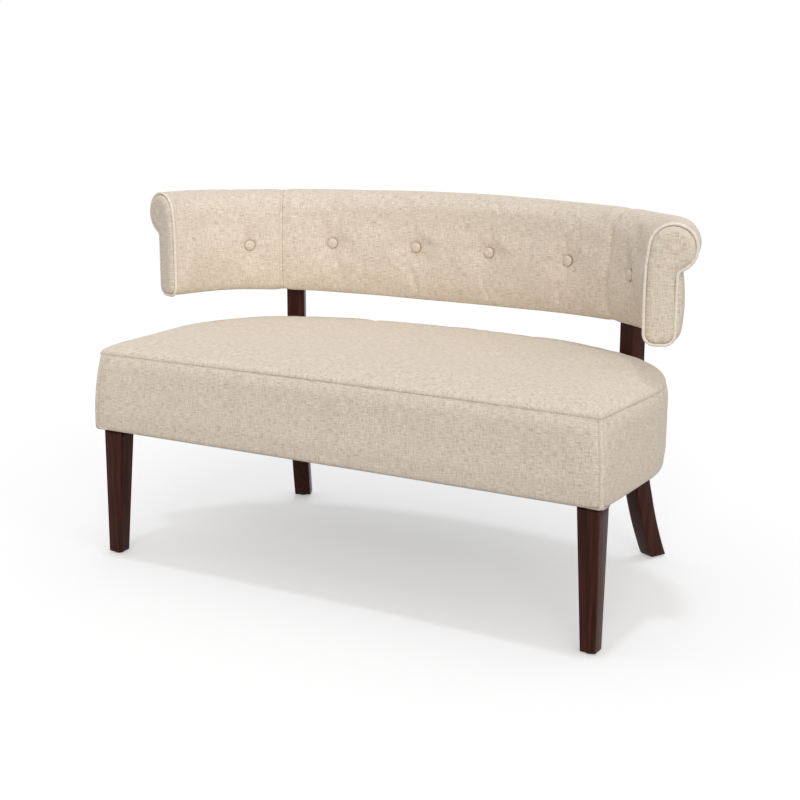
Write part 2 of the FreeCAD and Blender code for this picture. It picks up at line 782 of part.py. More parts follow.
former = ahead(end_core, back_plan, end_angle, 0, former_thickness).cut(screw_holes)
save("end_former_left", mirrored(former))
save("end_former_right", former)
save("former_screws", screws + [mirrored(screw) for screw in screws])
pad_face = end_section.makeOffset2D(-piping_width / 2 - ease)
pad = ahead(pad_face, back_plan, end_angle, former_thickness, end_pad)
front_face = max(pad.Faces, key=lambda face: face.CenterOfMass.dot(step))
pad = pad.makeFillet(end_pad_round, front_face.Edges)
save("end_panel_left", mirrored(pad))
save("end_panel_right", pad)
ring_face = end_section.makeOffset2D(piping_width / 2)
ring_face = ring_face.cut(end_section.makeOffset2D(-piping_width / 2))
piping = ahead(ring_face, back_plan, end_angle, former_thickness, piping_width)
save("end_piping_left", mirrored(piping))
save("end_piping_right", piping)

# Legs, bolts and glides

def rectangle(x1, y0, width, z):
    """Square of a front leg at a height, kept to its outer front corner."""
    corners = [at(x1, y0, z), at(x1, y0 + width, z), at(x1 - width, y0 + width, z),
               at(x1 - width, y0, z)]
    return Part.makePolygon(corners + corners[:1])


leg_x = hem_half - front_leg_side
front_leg = Part.makeLoft([rectangle(leg_x, front_leg_set_back, front_leg_foot, glide_height),
                           rectangle(leg_x, front_leg_set_back, front_leg_top, seat_base)],
                          True, True)
upright = [edge for edge in front_leg.Edges if edge.BoundBox.ZLength > front_leg_top * 2]
front_leg = front_leg.makeFillet(leg_edge, upright)
front_foot = at(leg_x - front_leg_foot / 2, front_leg_set_back + front_leg_foot / 2)
rear_foot = stood(Part.Vertex(kick(glide_height) + foot_thickness / 2, 0, 0)).Point

glides = []
nails = []
nail_holes = []
for foot in (front_foot, rear_foot):
    disc = rod(glide_radius, foot, at(0, 0, 1), glide_height)
    disc = disc.makeChamfer(nail_sink, [disc.Edges[0], disc.Edges[2]])
    seat = foot + at(0, 0, nail_sink)
    nail = rod(nail_radius, seat, at(0, 0, 1), nail_length)
    nail = nail.fuse(rod(nail_head_radius, seat, at(0, 0, 1), nail_head))
    hole = rod(nail_radius + thread_play, foot, at(0, 0, 1), nail_length + nail_sink + thread_play)
    mouth = rod(nail_head_radius + thread_play, foot, at(0, 0, 1),
                nail_sink + nail_head + thread_play)
    nails.append(nail)
    nail_holes.append(hole)
    glides.append(disc.cut([hole, mouth]))

front_leg = front_leg.cut([leg_bolt_hole, nail_holes[0]])
leg = leg.cut(nail_holes[1])
save("front_leg_left", mirrored(front_leg))
save("front_leg_right", front_leg)
save("rear_leg_left", mirrored(leg))
save("rear_leg_right", leg)
save("glide_front_left", mirrored(glides[0]))
save("glide_front_right", glides[0])
save("glide_rear_left", mirrored(glides[1]))
save("glide_rear_right", glides[1])
save("glide_nails", nails + [mirrored(nail) for nail in nails])
save("front_leg_bolts", both(leg_bolt))
save("rear_leg_bolts", rear_bolts + [mirrored(bolt) for bolt in rear_bolts])
save("back_bolts", all_back_bolts)
save("back_spacers", spacers + [mirrored(sleeve) for sleeve in spacers])
print(len(saved), "sub-parts; glide centres", front_foot - at(0, middle), rear_foot - at(0, middle))
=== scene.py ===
# A low settee: a buttoned back that curves round into both arms, over a crowned seat on dark legs.
# Metres, +Z up, the front faces -Y.
import json
import math
import bpy
import numpy as np
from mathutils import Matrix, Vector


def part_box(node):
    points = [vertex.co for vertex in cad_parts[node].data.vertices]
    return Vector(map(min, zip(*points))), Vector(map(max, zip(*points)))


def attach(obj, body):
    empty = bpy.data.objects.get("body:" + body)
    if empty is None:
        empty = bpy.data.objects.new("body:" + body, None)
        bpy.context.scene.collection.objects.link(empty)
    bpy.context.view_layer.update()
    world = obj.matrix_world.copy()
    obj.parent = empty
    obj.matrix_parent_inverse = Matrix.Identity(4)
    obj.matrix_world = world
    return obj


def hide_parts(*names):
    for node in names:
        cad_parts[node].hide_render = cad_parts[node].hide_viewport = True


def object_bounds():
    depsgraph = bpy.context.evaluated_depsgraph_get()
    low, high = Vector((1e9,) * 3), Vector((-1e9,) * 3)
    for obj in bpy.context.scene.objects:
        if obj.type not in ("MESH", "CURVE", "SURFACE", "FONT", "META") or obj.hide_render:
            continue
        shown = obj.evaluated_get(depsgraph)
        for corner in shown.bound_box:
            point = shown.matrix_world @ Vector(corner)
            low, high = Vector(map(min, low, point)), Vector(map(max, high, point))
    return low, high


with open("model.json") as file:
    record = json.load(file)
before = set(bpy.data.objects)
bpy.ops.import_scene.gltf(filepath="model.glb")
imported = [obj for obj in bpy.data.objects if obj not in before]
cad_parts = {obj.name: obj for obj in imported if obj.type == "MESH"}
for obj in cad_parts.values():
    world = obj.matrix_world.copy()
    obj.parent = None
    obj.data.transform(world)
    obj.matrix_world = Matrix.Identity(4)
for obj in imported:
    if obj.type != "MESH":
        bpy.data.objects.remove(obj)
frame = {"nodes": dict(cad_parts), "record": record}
cadLow, cadHigh = [[float(value) for value in corner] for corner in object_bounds()]
scene = bpy.context.scene
frontLine = cadLow[1]  # the seat's lower front corners, which depths are measured back from
print("frame loaded with", len(frame["nodes"]), "nodes")


# Meshes from grids

def addPiece(name, points, faces, uv=None):
    # faces is a list of arrays of equal-sided faces; uv holds a pair in metres for each corner
    mesh = bpy.data.meshes.new(name)
    mesh.from_pydata(points.tolist(), [], [face for block in faces for face in block.tolist()])
    if uv is not None:
        layer = mesh.uv_layers.new(name="weave")
        flat = np.concatenate([block.reshape(-1, 2) for block in uv])
        layer.data.foreach_set("uv", np.ascontiguousarray(flat, np.float32).ravel())
    mesh.polygons.foreach_set("use_smooth", np.ones(len(mesh.polygons), bool))
    mesh.update()
    piece = bpy.data.objects.new(name, mesh)
    scene.collection.objects.link(piece)
    return piece


def gridCorners(rows, columns, closeRows=False, closeColumns=False, flip=False):
    # row and column of the four corners of each quad between neighbouring points
    i, j = np.meshgrid(np.arange(rows - (not closeRows)), np.arange(columns - (not closeColumns)),
                       indexing="ij")
    i, j = i.ravel(), j.ravel()
    order = [0, 3, 2, 1] if flip else [0, 1, 2, 3]
    return np.stack([i, i + 1, i + 1, i], 1)[:, order], np.stack([j, j, j + 1, j + 1], 1)[:, order]


def gridPiece(name, points, weave=None, closeRows=False, closeColumns=False, flip=False,
              caps=False):
    # points is rows x columns x 3; weave is the same grid in metres of cloth, with one more row or
    # column where that direction is closed; caps close both ends of a tube
    rows, columns = points.shape[:2]
    cornerRows, cornerColumns = gridCorners(rows, columns, closeRows, closeColumns, flip)
    faces = [(cornerRows % rows) * columns + cornerColumns % columns]
    uv = None if weave is None else [weave[cornerRows, cornerColumns]]
    if caps:
        ring = np.arange(columns)[None]
        first, last = (ring[:, ::-1], ring) if flip else (ring, ring[:, ::-1])
        faces += [first, last + (rows - 1) * columns]
        if uv is not None:
            uv += [weave[0, first[0]], weave[rows - 1, last[0]]]
    return addPiece(name, points.reshape(-1, 3), faces, uv)


def padPiece(name, outer, inner, weave, flip=False):
    # closed pad: an outer grid, an inner grid of the same size, and a rim between their edges
    rows, columns = outer.shape[:2]
    cornerRows, cornerColumns = gridCorners(rows, columns, flip=flip)
    backRows, backColumns = gridCorners(rows, columns, flip=not flip)
    count = rows * columns
    edge = np.concatenate([np.arange(columns), np.arange(1, rows) * columns + columns - 1,
                           (rows - 1) * columns + np.arange(columns - 2, -1, -1),
                           np.arange(rows - 2, 0, -1) * columns])
    ahead = np.roll(edge, -1)
    rim = np.stack([edge, ahead, ahead + count, edge + count], 1)
    rim = rim[:, ::-1] if flip else rim
    flat = weave.reshape(-1, 2)
    faces = [cornerRows * columns + cornerColumns, count + backRows * columns + backColumns, rim]
    uv = [weave[cornerRows, cornerColumns], weave[backRows, backColumns], flat[rim % count]]
    return addPiece(name, np.concatenate([outer.reshape(-1, 3), inner.reshape(-1, 3)]), faces, uv)


def gridNormals(points):
    # cross product of the differences along the two directions
    normals = np.cross(np.gradient(points, axis=0), np.gradient(points, axis=1))
    return normals / np.maximum(np.linalg.norm(normals, axis=-1, keepdims=True), 1e-12)


def smoothStep(low, high, x):
    # 0 below low and 1 above high, with a cubic between
    t = np.clip((x - low) / (high - low), 0, 1)
    return t * t * (3 - 2 * t)


def stations(start, stop, gap, groups=()):
    # even places from start to stop, replaced near each mark by closer ones on both sides of it;
    # an even place nearer than 0.4 of a gap to the last of those is left out
    places = np.linspace(start, stop, int(round((stop - start) / gap)) + 1)
    for marks, steps in groups:
        marks, steps = np.asarray(marks, float), np.asarray(steps, float)
        if len(marks) == 0:
            continue
        near = np.abs(places[:, None] - marks).min(1) < steps[-1] + gap * 0.4
        close = (marks[:, None] + np.concatenate([-steps[::-1], [0], steps])).ravel()
        places = np.concatenate([places[~near], close])
    places = places[(places > start + 1e-5) & (places < stop - 1e-5)]
    return np.unique(np.concatenate([places, [start, stop]]).round(6))


def sampled(grid, rows, columns):
    # reads a grid at fractional rows and columns with a cubic through four neighbours each way
    def alongFirst(values, at):
        i = np.clip(np.floor(at).astype(int), 0, len(values) - 2)
        f = (at - i).reshape((-1,) + (1,) * (values.ndim - 1))
        a, b, c, d = [values[np.clip(i + k, 0, len(values) - 1)] for k in (-1, 0, 1, 2)]
        return b + 0.5 * f * (c - a + f * (2 * a - 5 * b + 4 * c - d + f * (3 * (b - c) + d - a)))
    return alongFirst(alongFirst(grid, rows).swapaxes(0, 1), columns).swapaxes(0, 1)


def lengthAlong(points):
    # distance walked along a line of points
    return np.concatenate([[0], np.cumsum(np.linalg.norm(np.diff(points, axis=0), axis=1))])


def onLine(points, reached, at):
    # points of a line at distances along it
    return np.stack([np.interp(at, reached, points[:, k]) for k in range(points.shape[1])], -1)


def arcPoints(centre, radius, start, stop, count=24):
    # points of an arc between two angles in degrees
    turn = np.radians(np.linspace(start, stop, count))
    return np.stack([centre[0] + radius * np.cos(turn), centre[1] + radius * np.sin(turn)], 1)


def ripple(x, y, seed, size):
    # smooth unevenness between -1 and 1: five sine waves of about one size in seeded directions
    total = 0
    for turn, phase, stretch in np.random.default_rng(seed).uniform(0, 1, (5, 3)):
        wave = 2 * math.pi / (size * (0.7 + 0.8 * stretch))
        total = total + np.sin(wave * (x * math.cos(turn * math.pi) + y * math.sin(turn * math.pi))
                               + phase * 6.28)
    return total / 5


# Plan lines

def fiveArcs(half, depth, spring, corner, turn1, turn2):
    # Five tangent arcs, symmetric about the middle. The outer arcs end square to the front at the
    # half width and the spring depth, and the two larger radii follow from width and depth.
    t1, t2 = math.radians(turn1), math.radians(turn2)
    across = half - corner * (1 - math.sin(t2))
    rear = depth - spring - corner * math.cos(t2)
    a, b = math.sin(t1), math.sin(t2) - math.sin(t1)
    c, d = 1 - math.cos(t1), math.cos(t1) - math.cos(t2)
    r1 = (across * d - b * rear) / (a * d - b * c)
    r2 = (a * rear - across * c) / (a * d - b * c)
    x2, y2 = (r1 - r2) * a, depth - r1 + (r1 - r2) * math.cos(t1)
    centres = [(corner - half, spring), (-x2, y2), (0, depth - r1), (x2, y2),
               (half - corner, spring)]
    return {"centres": np.array(centres) + (0, frontLine),
            "radii": np.array([corner, r2, r1, r2, corner]),
            "turns": np.radians([-90, -turn2, -turn1, turn1, turn2, 90])}


def planPoint(plan, heading, out=0.0):
    # place on a line parallel to the plan at each heading, in radians from straight back
    arc = np.clip(np.searchsorted(plan["turns"], heading, side="right") - 1, 0, 4)
    outward = np.stack([np.sin(heading), np.cos(heading)], -1)
    return plan["centres"][arc] + (plan["radii"][arc] + out)[..., None] * outward, outward


def planLengths(plan):
    # distance along the line to each hand-over between arcs, zero in the middle
    reached = np.concatenate([[0], np.cumsum(plan["radii"] * np.diff(plan["turns"]))])
    return reached - reached[-1] / 2


def headingAtX(plan, x):
    # heading where the plan line passes x, right of the middle
    ends = plan["centres"][:, 0] + plan["radii"] * np.sin(plan["turns"][1:])
    arc = int(np.searchsorted(ends, x))
    return math.asin((x - plan["centres"][arc, 0]) / plan["radii"][arc])


# Cloth

puffing = {
    "frames": 20,
    "cloth": {"quality": 5, "mass": 0.15, "tension_stiffness": 12, "compression_stiffness": 6,
              "shear_stiffness": 4, "bending_stiffness": 0.4, "use_pressure": True,
              "vertex_group_mass": "held"},  # the modifier's own names
}


def puff(name, points, held, pressure, slack, cap):
    # The grid is cloth, larger than its frame by the slack. Pressure swells it for some frames
    # with gravity off, held points stay, and no point moves further than the cap.
    piece = gridPiece(name, points)
    group = piece.vertex_groups.new(name="held")
    weights = held.ravel()
    for weight in np.unique(weights[weights > 0]):
        group.add(np.flatnonzero(weights == weight).tolist(), float(weight), "REPLACE")
    cloth = piece.modifiers.new("cloth", "CLOTH")
    for key, value in {**puffing["cloth"], "uniform_pressure_force": pressure,
                       "shrink_min": -slack}.items():
        setattr(cloth.settings, key, value)
    cloth.settings.effector_weights.gravity = 0
    cloth.point_cache.frame_start = 1
    cloth.point_cache.frame_end = puffing["frames"]
    for moment in range(1, puffing["frames"] + 1):
        scene.frame_set(moment)
    swollen = piece.evaluated_get(bpy.context.evaluated_depsgraph_get())
    reached = np.empty(points.size, np.float32)
    swollen.data.vertices.foreach_get("co", reached)
    moves = reached.reshape(points.shape) - points
    length = np.linalg.norm(moves, axis=-1, keepdims=True)
    moves *= np.minimum(1, cap / np.maximum(length, 1e-9))
    bpy.data.objects.remove(piece)
    scene.frame_set(1)
    print(name, "swelled by up to", round(float(length.max()) * 1000, 1), "mm, mostly",
          round(float(np.median(length)) * 1000, 1))
    return moves


# Stitches

stitch = {
    "spacing": 0.0034, "length": 0.0026, "radius": 0.00035, "lift": 0.0001, "sides": 6,
    "along": (-0.5, -0.3, 0.3, 0.5),  # where a stitch's rings lie, in shares of its length
    "width": (0.25, 1, 1, 0.25),  # how wide each ring is, in shares of the radius
}


def stitchRow(path, normals):
    # capsules of thread laid along a line: each is rings of a circle, narrowed at both ends
    spacing, length, sides = stitch["spacing"], stitch["length"], stitch["sides"]
    count = len(stitch["along"])
    reached = lengthAlong(path)
    places = np.arange(spacing / 2, reached[-1] - spacing / 2, spacing)
    centre = onLine(path, reached, places)
    ahead = onLine(path, reached, places + length / 2) - centre
    ahead /= np.linalg.norm(ahead, axis=1, keepdims=True)
    side = np.cross(onLine(normals, reached, places), ahead)
    side /= np.linalg.norm(side, axis=1, keepdims=True)
    up = np.cross(ahead, side)
    along = np.array(stitch["along"]) * length
    width = np.array(stitch["width"]) * stitch["radius"]
    turn = np.linspace(0, 2 * math.pi, sides, endpoint=False)
    rings = (centre[:, None, None] + up[:, None, None] * stitch["lift"]
             + ahead[:, None, None] * along[:, None, None]
             + side[:, None, None] * (width[:, None] * np.cos(turn))[..., None]
             + up[:, None, None] * (width[:, None] * np.sin(turn))[..., None])
    rows, columns = gridCorners(count, sides, closeColumns=True)
    base = np.arange(len(places))[:, None, None] * count * sides
    walls = ((rows * sides + columns % sides)[:, ::-1] + base).reshape(-1, 4)
    ring = np.arange(sides)
    tips = (np.array([ring[::-1], ring + (count - 1) * sides]) + base).reshape(-1, sides)
    return rings.reshape(-1, 3), walls, tips


def stitchPiece(name, rows):
    # several rows of stitches in one mesh, over the cloth that they close
    starts = np.cumsum([0] + [len(row[0]) for row in rows])
    faces = [row[k] + start for row, start in zip(rows, starts) for k in (1, 2)]
    piece = addPiece(name, np.concatenate([row[0] for row in rows]), faces)
    return dress(piece, waxedThread)


# Materials

def linear(code):
    # sRGB hex to a linear colour
    parts = [int(code[i:i + 2], 16) / 255 for i in (1, 3, 5)]
    return tuple(p / 12.92 if p <= 0.04045 else ((p + 0.055) / 1.055) ** 2.4
                 for p in parts) + (1.0,)


def setInputs(tree, node, inputs):
    # inputs by name or number: plain values, other nodes' outputs, or nodes for their first output
    for key, value in inputs.items():
        value = value.outputs[0] if isinstance(value, bpy.types.Node) else value
        if isinstance(value, bpy.types.NodeSocket):
            tree.links.new(value, node.inputs[key])
        else:
            node.inputs[key].default_value = value


def addNode(tree, kind, inputs=(), **settings):
    # one node: settings are its own options, inputs are a list in the node's order or a dictionary
    node = tree.nodes.new("ShaderNode" + kind)
    for key, value in settings.items():
        setattr(node, key, value)
    setInputs(tree, node, inputs if isinstance(inputs, dict) else dict(enumerate(inputs)))
    return node


def newMaterial(name):
    # an empty material, its node tree and its main shader
    material = bpy.data.materials.new(name)
    material.use_nodes = True
    tree = material.node_tree
    return material, tree, tree.nodes["Principled BSDF"]


clothLook = {
    "thread": 0.0015,  # one warp and weft crossing; a real one is about 0.7 mm, too fine to show
    "slub": (0.015, 0.0009),  # length and width of the thick places in the yarn
    "band": (0.090, 0.0030),  # runs of slightly thicker or paler threads side by side
    "mottle": 0.030,  # size of the faint clouds over the whole cloth
    # noise from and to, and the share of the other colour from and to, for weft and warp
    "darkFlecks": ((0.53, 0.74, 0.0, 0.55), (0.54, 0.75, 0.0, 0.48)),
    "paleFlecks": ((0.48, 0.28, 0.0, 0.55), (0.47, 0.27, 0.0, 0.50)),
    # pattern from and to, and the brightness from and to
    "mottleShade": (0.3, 0.7, 0.985, 1.015),
    "crossingShade": (0.0, 0.35, 0.93, 1.01),
    "bandShade": (0.7, 1.3, 0.965, 1.03),
    # how far the crossings and the thick yarn stand up, and how deep that is in metres
    "crossingRise": 0.5, "slubRise": 0.9, "bump": 0.00035, "bumpShare": 0.55,
}


def linenCloth(name, base, dark, light):
    # Plain weave of polyester and linen with slub yarn: matte, flecked by thicker and darker
    # threads both ways, with a faint pale fuzz at grazing angles.
    look = clothLook
    material, tree, shader = newMaterial(name)
    uv = addNode(tree, "UVMap", uv_map="weave")
    split = addNode(tree, "SeparateXYZ", [uv])

    def streaks(size, lengthways, shift, detail=1.5):
        # noise stretched along one thread direction
        long, fine = 1 / size[0], 1 / size[1]
        scale = (long, fine, 1) if lengthways else (fine, long, 1)
        moved = addNode(tree, "Mapping", {"Vector": uv, "Scale": scale,
                                          "Location": (shift, shift * 2, 0)})
        return addNode(tree, "TexNoise", {"Vector": moved, "Scale": 1.0, "Detail": detail,
                                          "Roughness": 0.5}, noise_dimensions="2D")

    weft, warp = streaks(look["slub"], True, 3.1), streaks(look["slub"], False, 7.7)
    runs = addNode(tree, "Math", [streaks(look["band"], True, 1.3, 0.0),
                                  streaks(look["band"], False, 5.9, 0.0)], operation="ADD")
    mottle = addNode(tree, "TexNoise", {"Vector": uv, "Scale": 1 / look["mottle"], "Detail": 3.0},
                     noise_dimensions="2D")
    # the thread crossings: the product of a sine across and a sine along, squared
    phases = [addNode(tree, "Math", [split.outputs[k], math.pi / look["thread"]],
                      operation="MULTIPLY") for k in (0, 1)]
    waves = [addNode(tree, "Math", [phase], operation="SINE") for phase in phases]
    over = addNode(tree, "Math", waves, operation="MULTIPLY")
    crossing = addNode(tree, "Math", [over, over], operation="MULTIPLY")
    colour = linear(base)
    for flecks, tint in (("darkFlecks", dark), ("paleFlecks", light)):
        shares = [addNode(tree, "MapRange", [yarn, *span])
                  for yarn, span in zip((weft, warp), look[flecks])]
        share = addNode(tree, "Math", shares, operation="ADD")
        colour = addNode(tree, "Mix", {"Factor": share, 6: colour, 7: linear(tint)},
                         data_type="RGBA").outputs[2]
    level = 1.0
    for pattern, span in ((mottle, "mottleShade"), (crossing, "crossingShade"),
                          (runs, "bandShade")):
        shade = addNode(tree, "MapRange", [pattern, *look[span]])
        level = addNode(tree, "Math", [level, shade], operation="MULTIPLY")
    grey = addNode(tree, "CombineColor", [level, level, level])
    colour = addNode(tree, "Mix", {"Factor": 1.0, 6: colour, 7: grey}, data_type="RGBA",
                     blend_type="MULTIPLY").outputs[2]
    yarns = addNode(tree, "Math", [weft, warp], operation="ADD")
    rises = [addNode(tree, "Math", [pattern, look[rise]], operation="MULTIPLY")
             for pattern, rise in ((crossing, "crossingRise"), (yarns, "slubRise"))]
    height = addNode(tree, "Math", rises, operation="ADD")
    bump = addNode(tree, "Bump", {"Height": height, "Strength": look["bumpShare"],
                                  "Distance": look["bump"]})
    setInputs(tree, shader, {"Base Color": colour, "Normal": bump, "Roughness": 0.92,
                             "Specular IOR Level": 0.22, "Sheen Weight": 0.40,
                             "Sheen Roughness": 0.5, "Sheen Tint": linear("#fff6e8")})
    return material


def stainedWood(name, base, deep, ring=0.006, rough=0.32, spec=0.5, coat=0.35):
    # Hardwood under a stain and a sprayed satin lacquer: the grain runs up the piece and just
    # shows through, and the lacquer gives a soft white reflection.
    material, tree, shader = newMaterial(name)
    place = addNode(tree, "TexCoord").outputs["Object"]

    def grainNoise(across, along, detail):
        moved = addNode(tree, "Mapping", {"Vector": place,
                                          "Scale": (1 / across, 1 / across, 1 / along)})
        return addNode(tree, "TexNoise", {"Vector": moved, "Scale": 1.0, "Detail": detail,
                                          "Roughness": 0.62, "Distortion": 0.3})

    rings, pores = grainNoise(ring, ring * 22, 5.0), grainNoise(ring / 4, ring * 10, 2.0)
    share = addNode(tree, "MapRange", [rings, 0.36, 0.64])
    colour = addNode(tree, "Mix", {"Factor": share, 6: linear(deep), 7: linear(base)},
                     data_type="RGBA").outputs[2]
    gloss = addNode(tree, "MapRange", [pores, 0.3, 0.7, rough - 0.05, rough + 0.1])
    bump = addNode(tree, "Bump", {"Height": pores, "Strength": 0.25, "Distance": 0.00015})
    setInputs(tree, shader, {"Base Color": colour, "Roughness": gloss, "Normal": bump,
                             "Specular IOR Level": spec, "Coat Weight": coat,
                             "Coat Roughness": 0.3})
    return material


def speckled(name, base, other, grain, rough, metallic=0.0, relief=0.0001, stretch=(1, 1, 1)):
    # A fine two-colour speckle at the grain's size, with a bump of the same pattern: the look of
    # cut foam, coarse thread or a plated or moulded surface seen from some way off.
    material, tree, shader = newMaterial(name)
    place = addNode(tree, "TexCoord").outputs["Object"]
    moved = addNode(tree, "Mapping", {"Vector": place, "Scale": [1 / (grain * s) for s in stretch]})
    noise = addNode(tree, "TexNoise", {"Vector": moved, "Scale": 1.0, "Detail": 3.0})
    share = addNode(tree, "MapRange", [noise, 0.35, 0.65])
    colour = addNode(tree, "Mix", {"Factor": share, 6: linear(base), 7: linear(other)},
                     data_type="RGBA").outputs[2]
    bump = addNode(tree, "Bump", {"Height": noise, "Strength": 0.5, "Distance": relief})
    setInputs(tree, shader, {"Base Color": colour, "Normal": bump, "Roughness": rough,
                             "Metallic": metallic})
    return material


# the cover: warm off-white with tan flecks, and the same cloth cut on the bias on the cord, painted
# paler there as a highlight where the round cord catches the light
linen = linenCloth("slub_linen_weave", "#e0d4c4", "#b29571", "#f2ece3")
paleLitPipingLinen = linenCloth("bias_cut_linen_piping_painted_highlight", "#f0e8dc", "#d3c0a5", "#faf5ec")
# legs: nearly black red-brown with a dull sheen; frame: pale, dry wood with wide rings
espresso = stainedWood("espresso_stained_rubberwood_satin_lacquer", "#48261d", "#2b120d",
                       spec=0.09, coat=0.03)
frameTimber = stainedWood("planed_poplar_frame_timber", "#c9a878", "#a9855a", 0.009, 0.7, 0.3, 0.0)
# inside and underneath: open-celled yellow foam, brown jute in long threads, dull black and
# cream sheets, bright speckled zinc, and dark glossy nylon
seatFoam = speckled("cut_polyurethane_foam", "#e6dcae", "#cfc38f", 0.0016, 0.95, relief=0.0006)
webStrap = speckled("woven_jute_webbing", "#8c7146", "#5f4a2c", 0.0014, 0.9, relief=0.0004,
                    stretch=(4, 1, 1))
dustCloth = speckled("black_spunbond_dust_cloth", "#26262a", "#121214", 0.0009, 0.85)
deckCloth = speckled("unbleached_cotton_deck_cloth", "#cfc4ac", "#b7aa8e", 0.0009, 0.9)
zincSteel = speckled("zinc_plated_steel", "#b4b5b2", "#8f9090", 0.0008, 0.38, 1.0, 0.00002)
glideNylon = speckled("moulded_nylon_glide", "#1d1a18", "#2b2724", 0.0007, 0.5)
# pale smooth thread, a little darker than the cloth
waxedThread = speckled("bonded_polyester_thread", "#d6c8b3", "#bfae95", 0.0004, 0.7,
                       stretch=(3, 1, 1))


def dress(piece, material, nodes=()):
    # everything that a piece of the settee gets once its mesh is made
    piece.data.materials.append(material)
    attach(piece, "root")  # the settee is one body: nothing on it moves
    if len(nodes):
        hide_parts(*nodes)
    return piece


print("materials made")


# Back

# half width, depth, spring, corner radius, and the headings where the arcs meet
backPlan = fiveArcs(0.543, 0.510, 0.216, 0.218, 12.1, 36.8)
back = {
    "base": 0.520, "height": 0.740, "stem": 0.056, "baseRound": 0.020,  # stem is the thickness
    "rollRadius": 0.043, "rollSet": 0.047, "neckRound": 0.014, "rollOpen": 84,
    "shoulderDrop": 0.075, "innerFace": 0.012,  # how far out the inner face's crown may reach
    "crown": 0.009, "endCrown": 0.001, "crownFade": 0.04,
    "endTurn": 71.0, "tail": 0.041, "curl": 0.0094, "curlRun": 0.20,  # ends of the arms
    "fuller": 0.0085, "fullerRun": 0.50, "midHeight": 0.630,  # taller at the middle
    "buttonX": (0.088, 0.2815), "buttonHeight": 0.628,
    "armButtonTurn": 35.8, "armButtonHeight": 0.621,
    "pressure": 2.5, "slack": 0.003, "cap": 0.004, "thick": 0.004,
}
arms = {
    # most on the outer face and on the roll; rise, fadeFrom and fadeTo are metres from the end
    "swell": 0.0120, "rollSwell": 0.0055, "rise": 0.017, "fadeFrom": 0.06, "fadeTo": 0.215,
    "middle": 0.594, "half": 0.080, "fullness": 0.6, "faceTop": 0.674, "faceFrom": 0.046,
    "rollBase": 0.650, "rollRises": (-60, 25), "rollFalls": (96, 55),  # degrees round the roll
}
pulls = {
    "depth": 0.010, "radius": 0.048, "flat": 0.010, "bowl": 0.55,
    "crease": 0.45, "creaseFrom": 0.0098, "creaseFade": 0.0036,
    "wide": 0.10, "narrow": 0.06,  # shares by which 5 wide and 8 narrow folds vary the bowl
}
seams = {
    "x": 0.387, "dip": 0.0024, "dipWidth": 0.020, "topstitch": 0.0065,
    "stitchDip": 0.0007, "stitchWidth": 0.0012,
    "ridge": 0.0006, "ridgePlace": 0.55, "ridgeWidth": 0.0016,  # between seam and topstitch
}
stuffing = {"uneven": 0.0005, "size": 0.12, "seed": 11}  # height and width of its waves
backGrid = {  # gaps between points, and the closer steps on both sides of a mark
    "coarse": 0.008, "fine": 0.0042, "edges": (0.0004, 0.0012, 0.0022, 0.0034),
    "buttons": (0.0025, 0.005, 0.0075, 0.0095, 0.011, 0.0125, 0.0145, 0.017),
    "stitches": (0.0008, 0.0016, 0.0028, 0.0040),
}


def backSection():
    # The section from under the back up the inner face and over the roll to the neck, then from
    # there down the outer face: straight runs and arcs, X outward and Z up.
    b = back
    rollCentre = (b["rollSet"], b["height"] - b["rollRadius"])
    gap, reach = b["rollRadius"] + b["neckRound"], b["stem"] + b["neckRound"] - b["rollSet"]
    neckTurn = math.degrees(math.acos(reach / gap))
    neckHeight = rollCentre[1] - math.sqrt(gap ** 2 - reach ** 2)
    low, high = b["base"] + b["baseRound"], b["height"] - b["shoulderDrop"]
    underside = (b["stem"] - b["baseRound"], b["base"]), (b["baseRound"] + 0.001, b["base"])
    inner = [np.array(underside),
             arcPoints((b["baseRound"], low), b["baseRound"], -90, -180),
             np.stack([np.zeros(40), np.linspace(low, high, 42)[1:-1]], 1),
             np.array([(0, high)]),
             arcPoints(rollCentre, b["rollRadius"], 90 + b["rollOpen"], -neckTurn, 90),
             arcPoints((b["stem"] + b["neckRound"], neckHeight), b["neckRound"],
                       180 - neckTurn, 180, 10)]
    outer = [np.stack([np.full(30, b["stem"]), np.linspace(neckHeight, low, 30)], 1),
             arcPoints((b["stem"] - b["baseRound"], low), b["baseRound"], 0, -90)]
    lines = [np.concatenate(inner), np.concatenate(outer)]
    for k, line in enumerate(lines):  # points that two runs share are kept once
        reached = lengthAlong(line).round(7)
        lines[k] = line[reached.searchsorted(np.unique(reached))]
    return lines[0], lines[1], low, high


innerLine, outerLine, faceLow, faceHigh = backSection()
innerLength, outerLength = lengthAlong(innerLine), lengthAlong(outerLine)
endHeading = math.radians(back["endTurn"])
lengthTable = planLengths(backPlan)
endLength = float(np.interp(endHeading, backPlan["turns"], lengthTable))
seamLength = float(np.interp(headingAtX(backPlan, seams["x"]), backPlan["turns"], lengthTable))
backReach = endLength + back["tail"]


def carried(along, s, z):
    # Carries section points along the plan: along is metres from the middle, with straight tails
    # that curl in slightly. The back is a little taller at the middle of its length, above and
    # below its middle height.
    along, s, z = np.broadcast_arrays(along, s, z)
    heading = np.clip(np.interp(along, lengthTable, backPlan["turns"]), -endHeading, endHeading)
    place, outward = planPoint(backPlan, heading)
    past = np.sign(along) * np.maximum(np.abs(along) - endLength, 0)
    ahead = np.stack([np.cos(heading), -np.sin(heading)], -1)
    curl = back["curl"] * smoothStep(backReach - back["curlRun"], backReach, np.abs(along))
    flat = place + past[..., None] * ahead + (s - curl)[..., None] * outward
    taller = np.clip(1 - (along / back["fullerRun"]) ** 2, 0, 1) ** 2 * back["fuller"]
    z = z + taller * (z - back["midHeight"]) * 2 / (back["height"] - back["base"])
    return np.concatenate([flat, z[..., None]], -1)


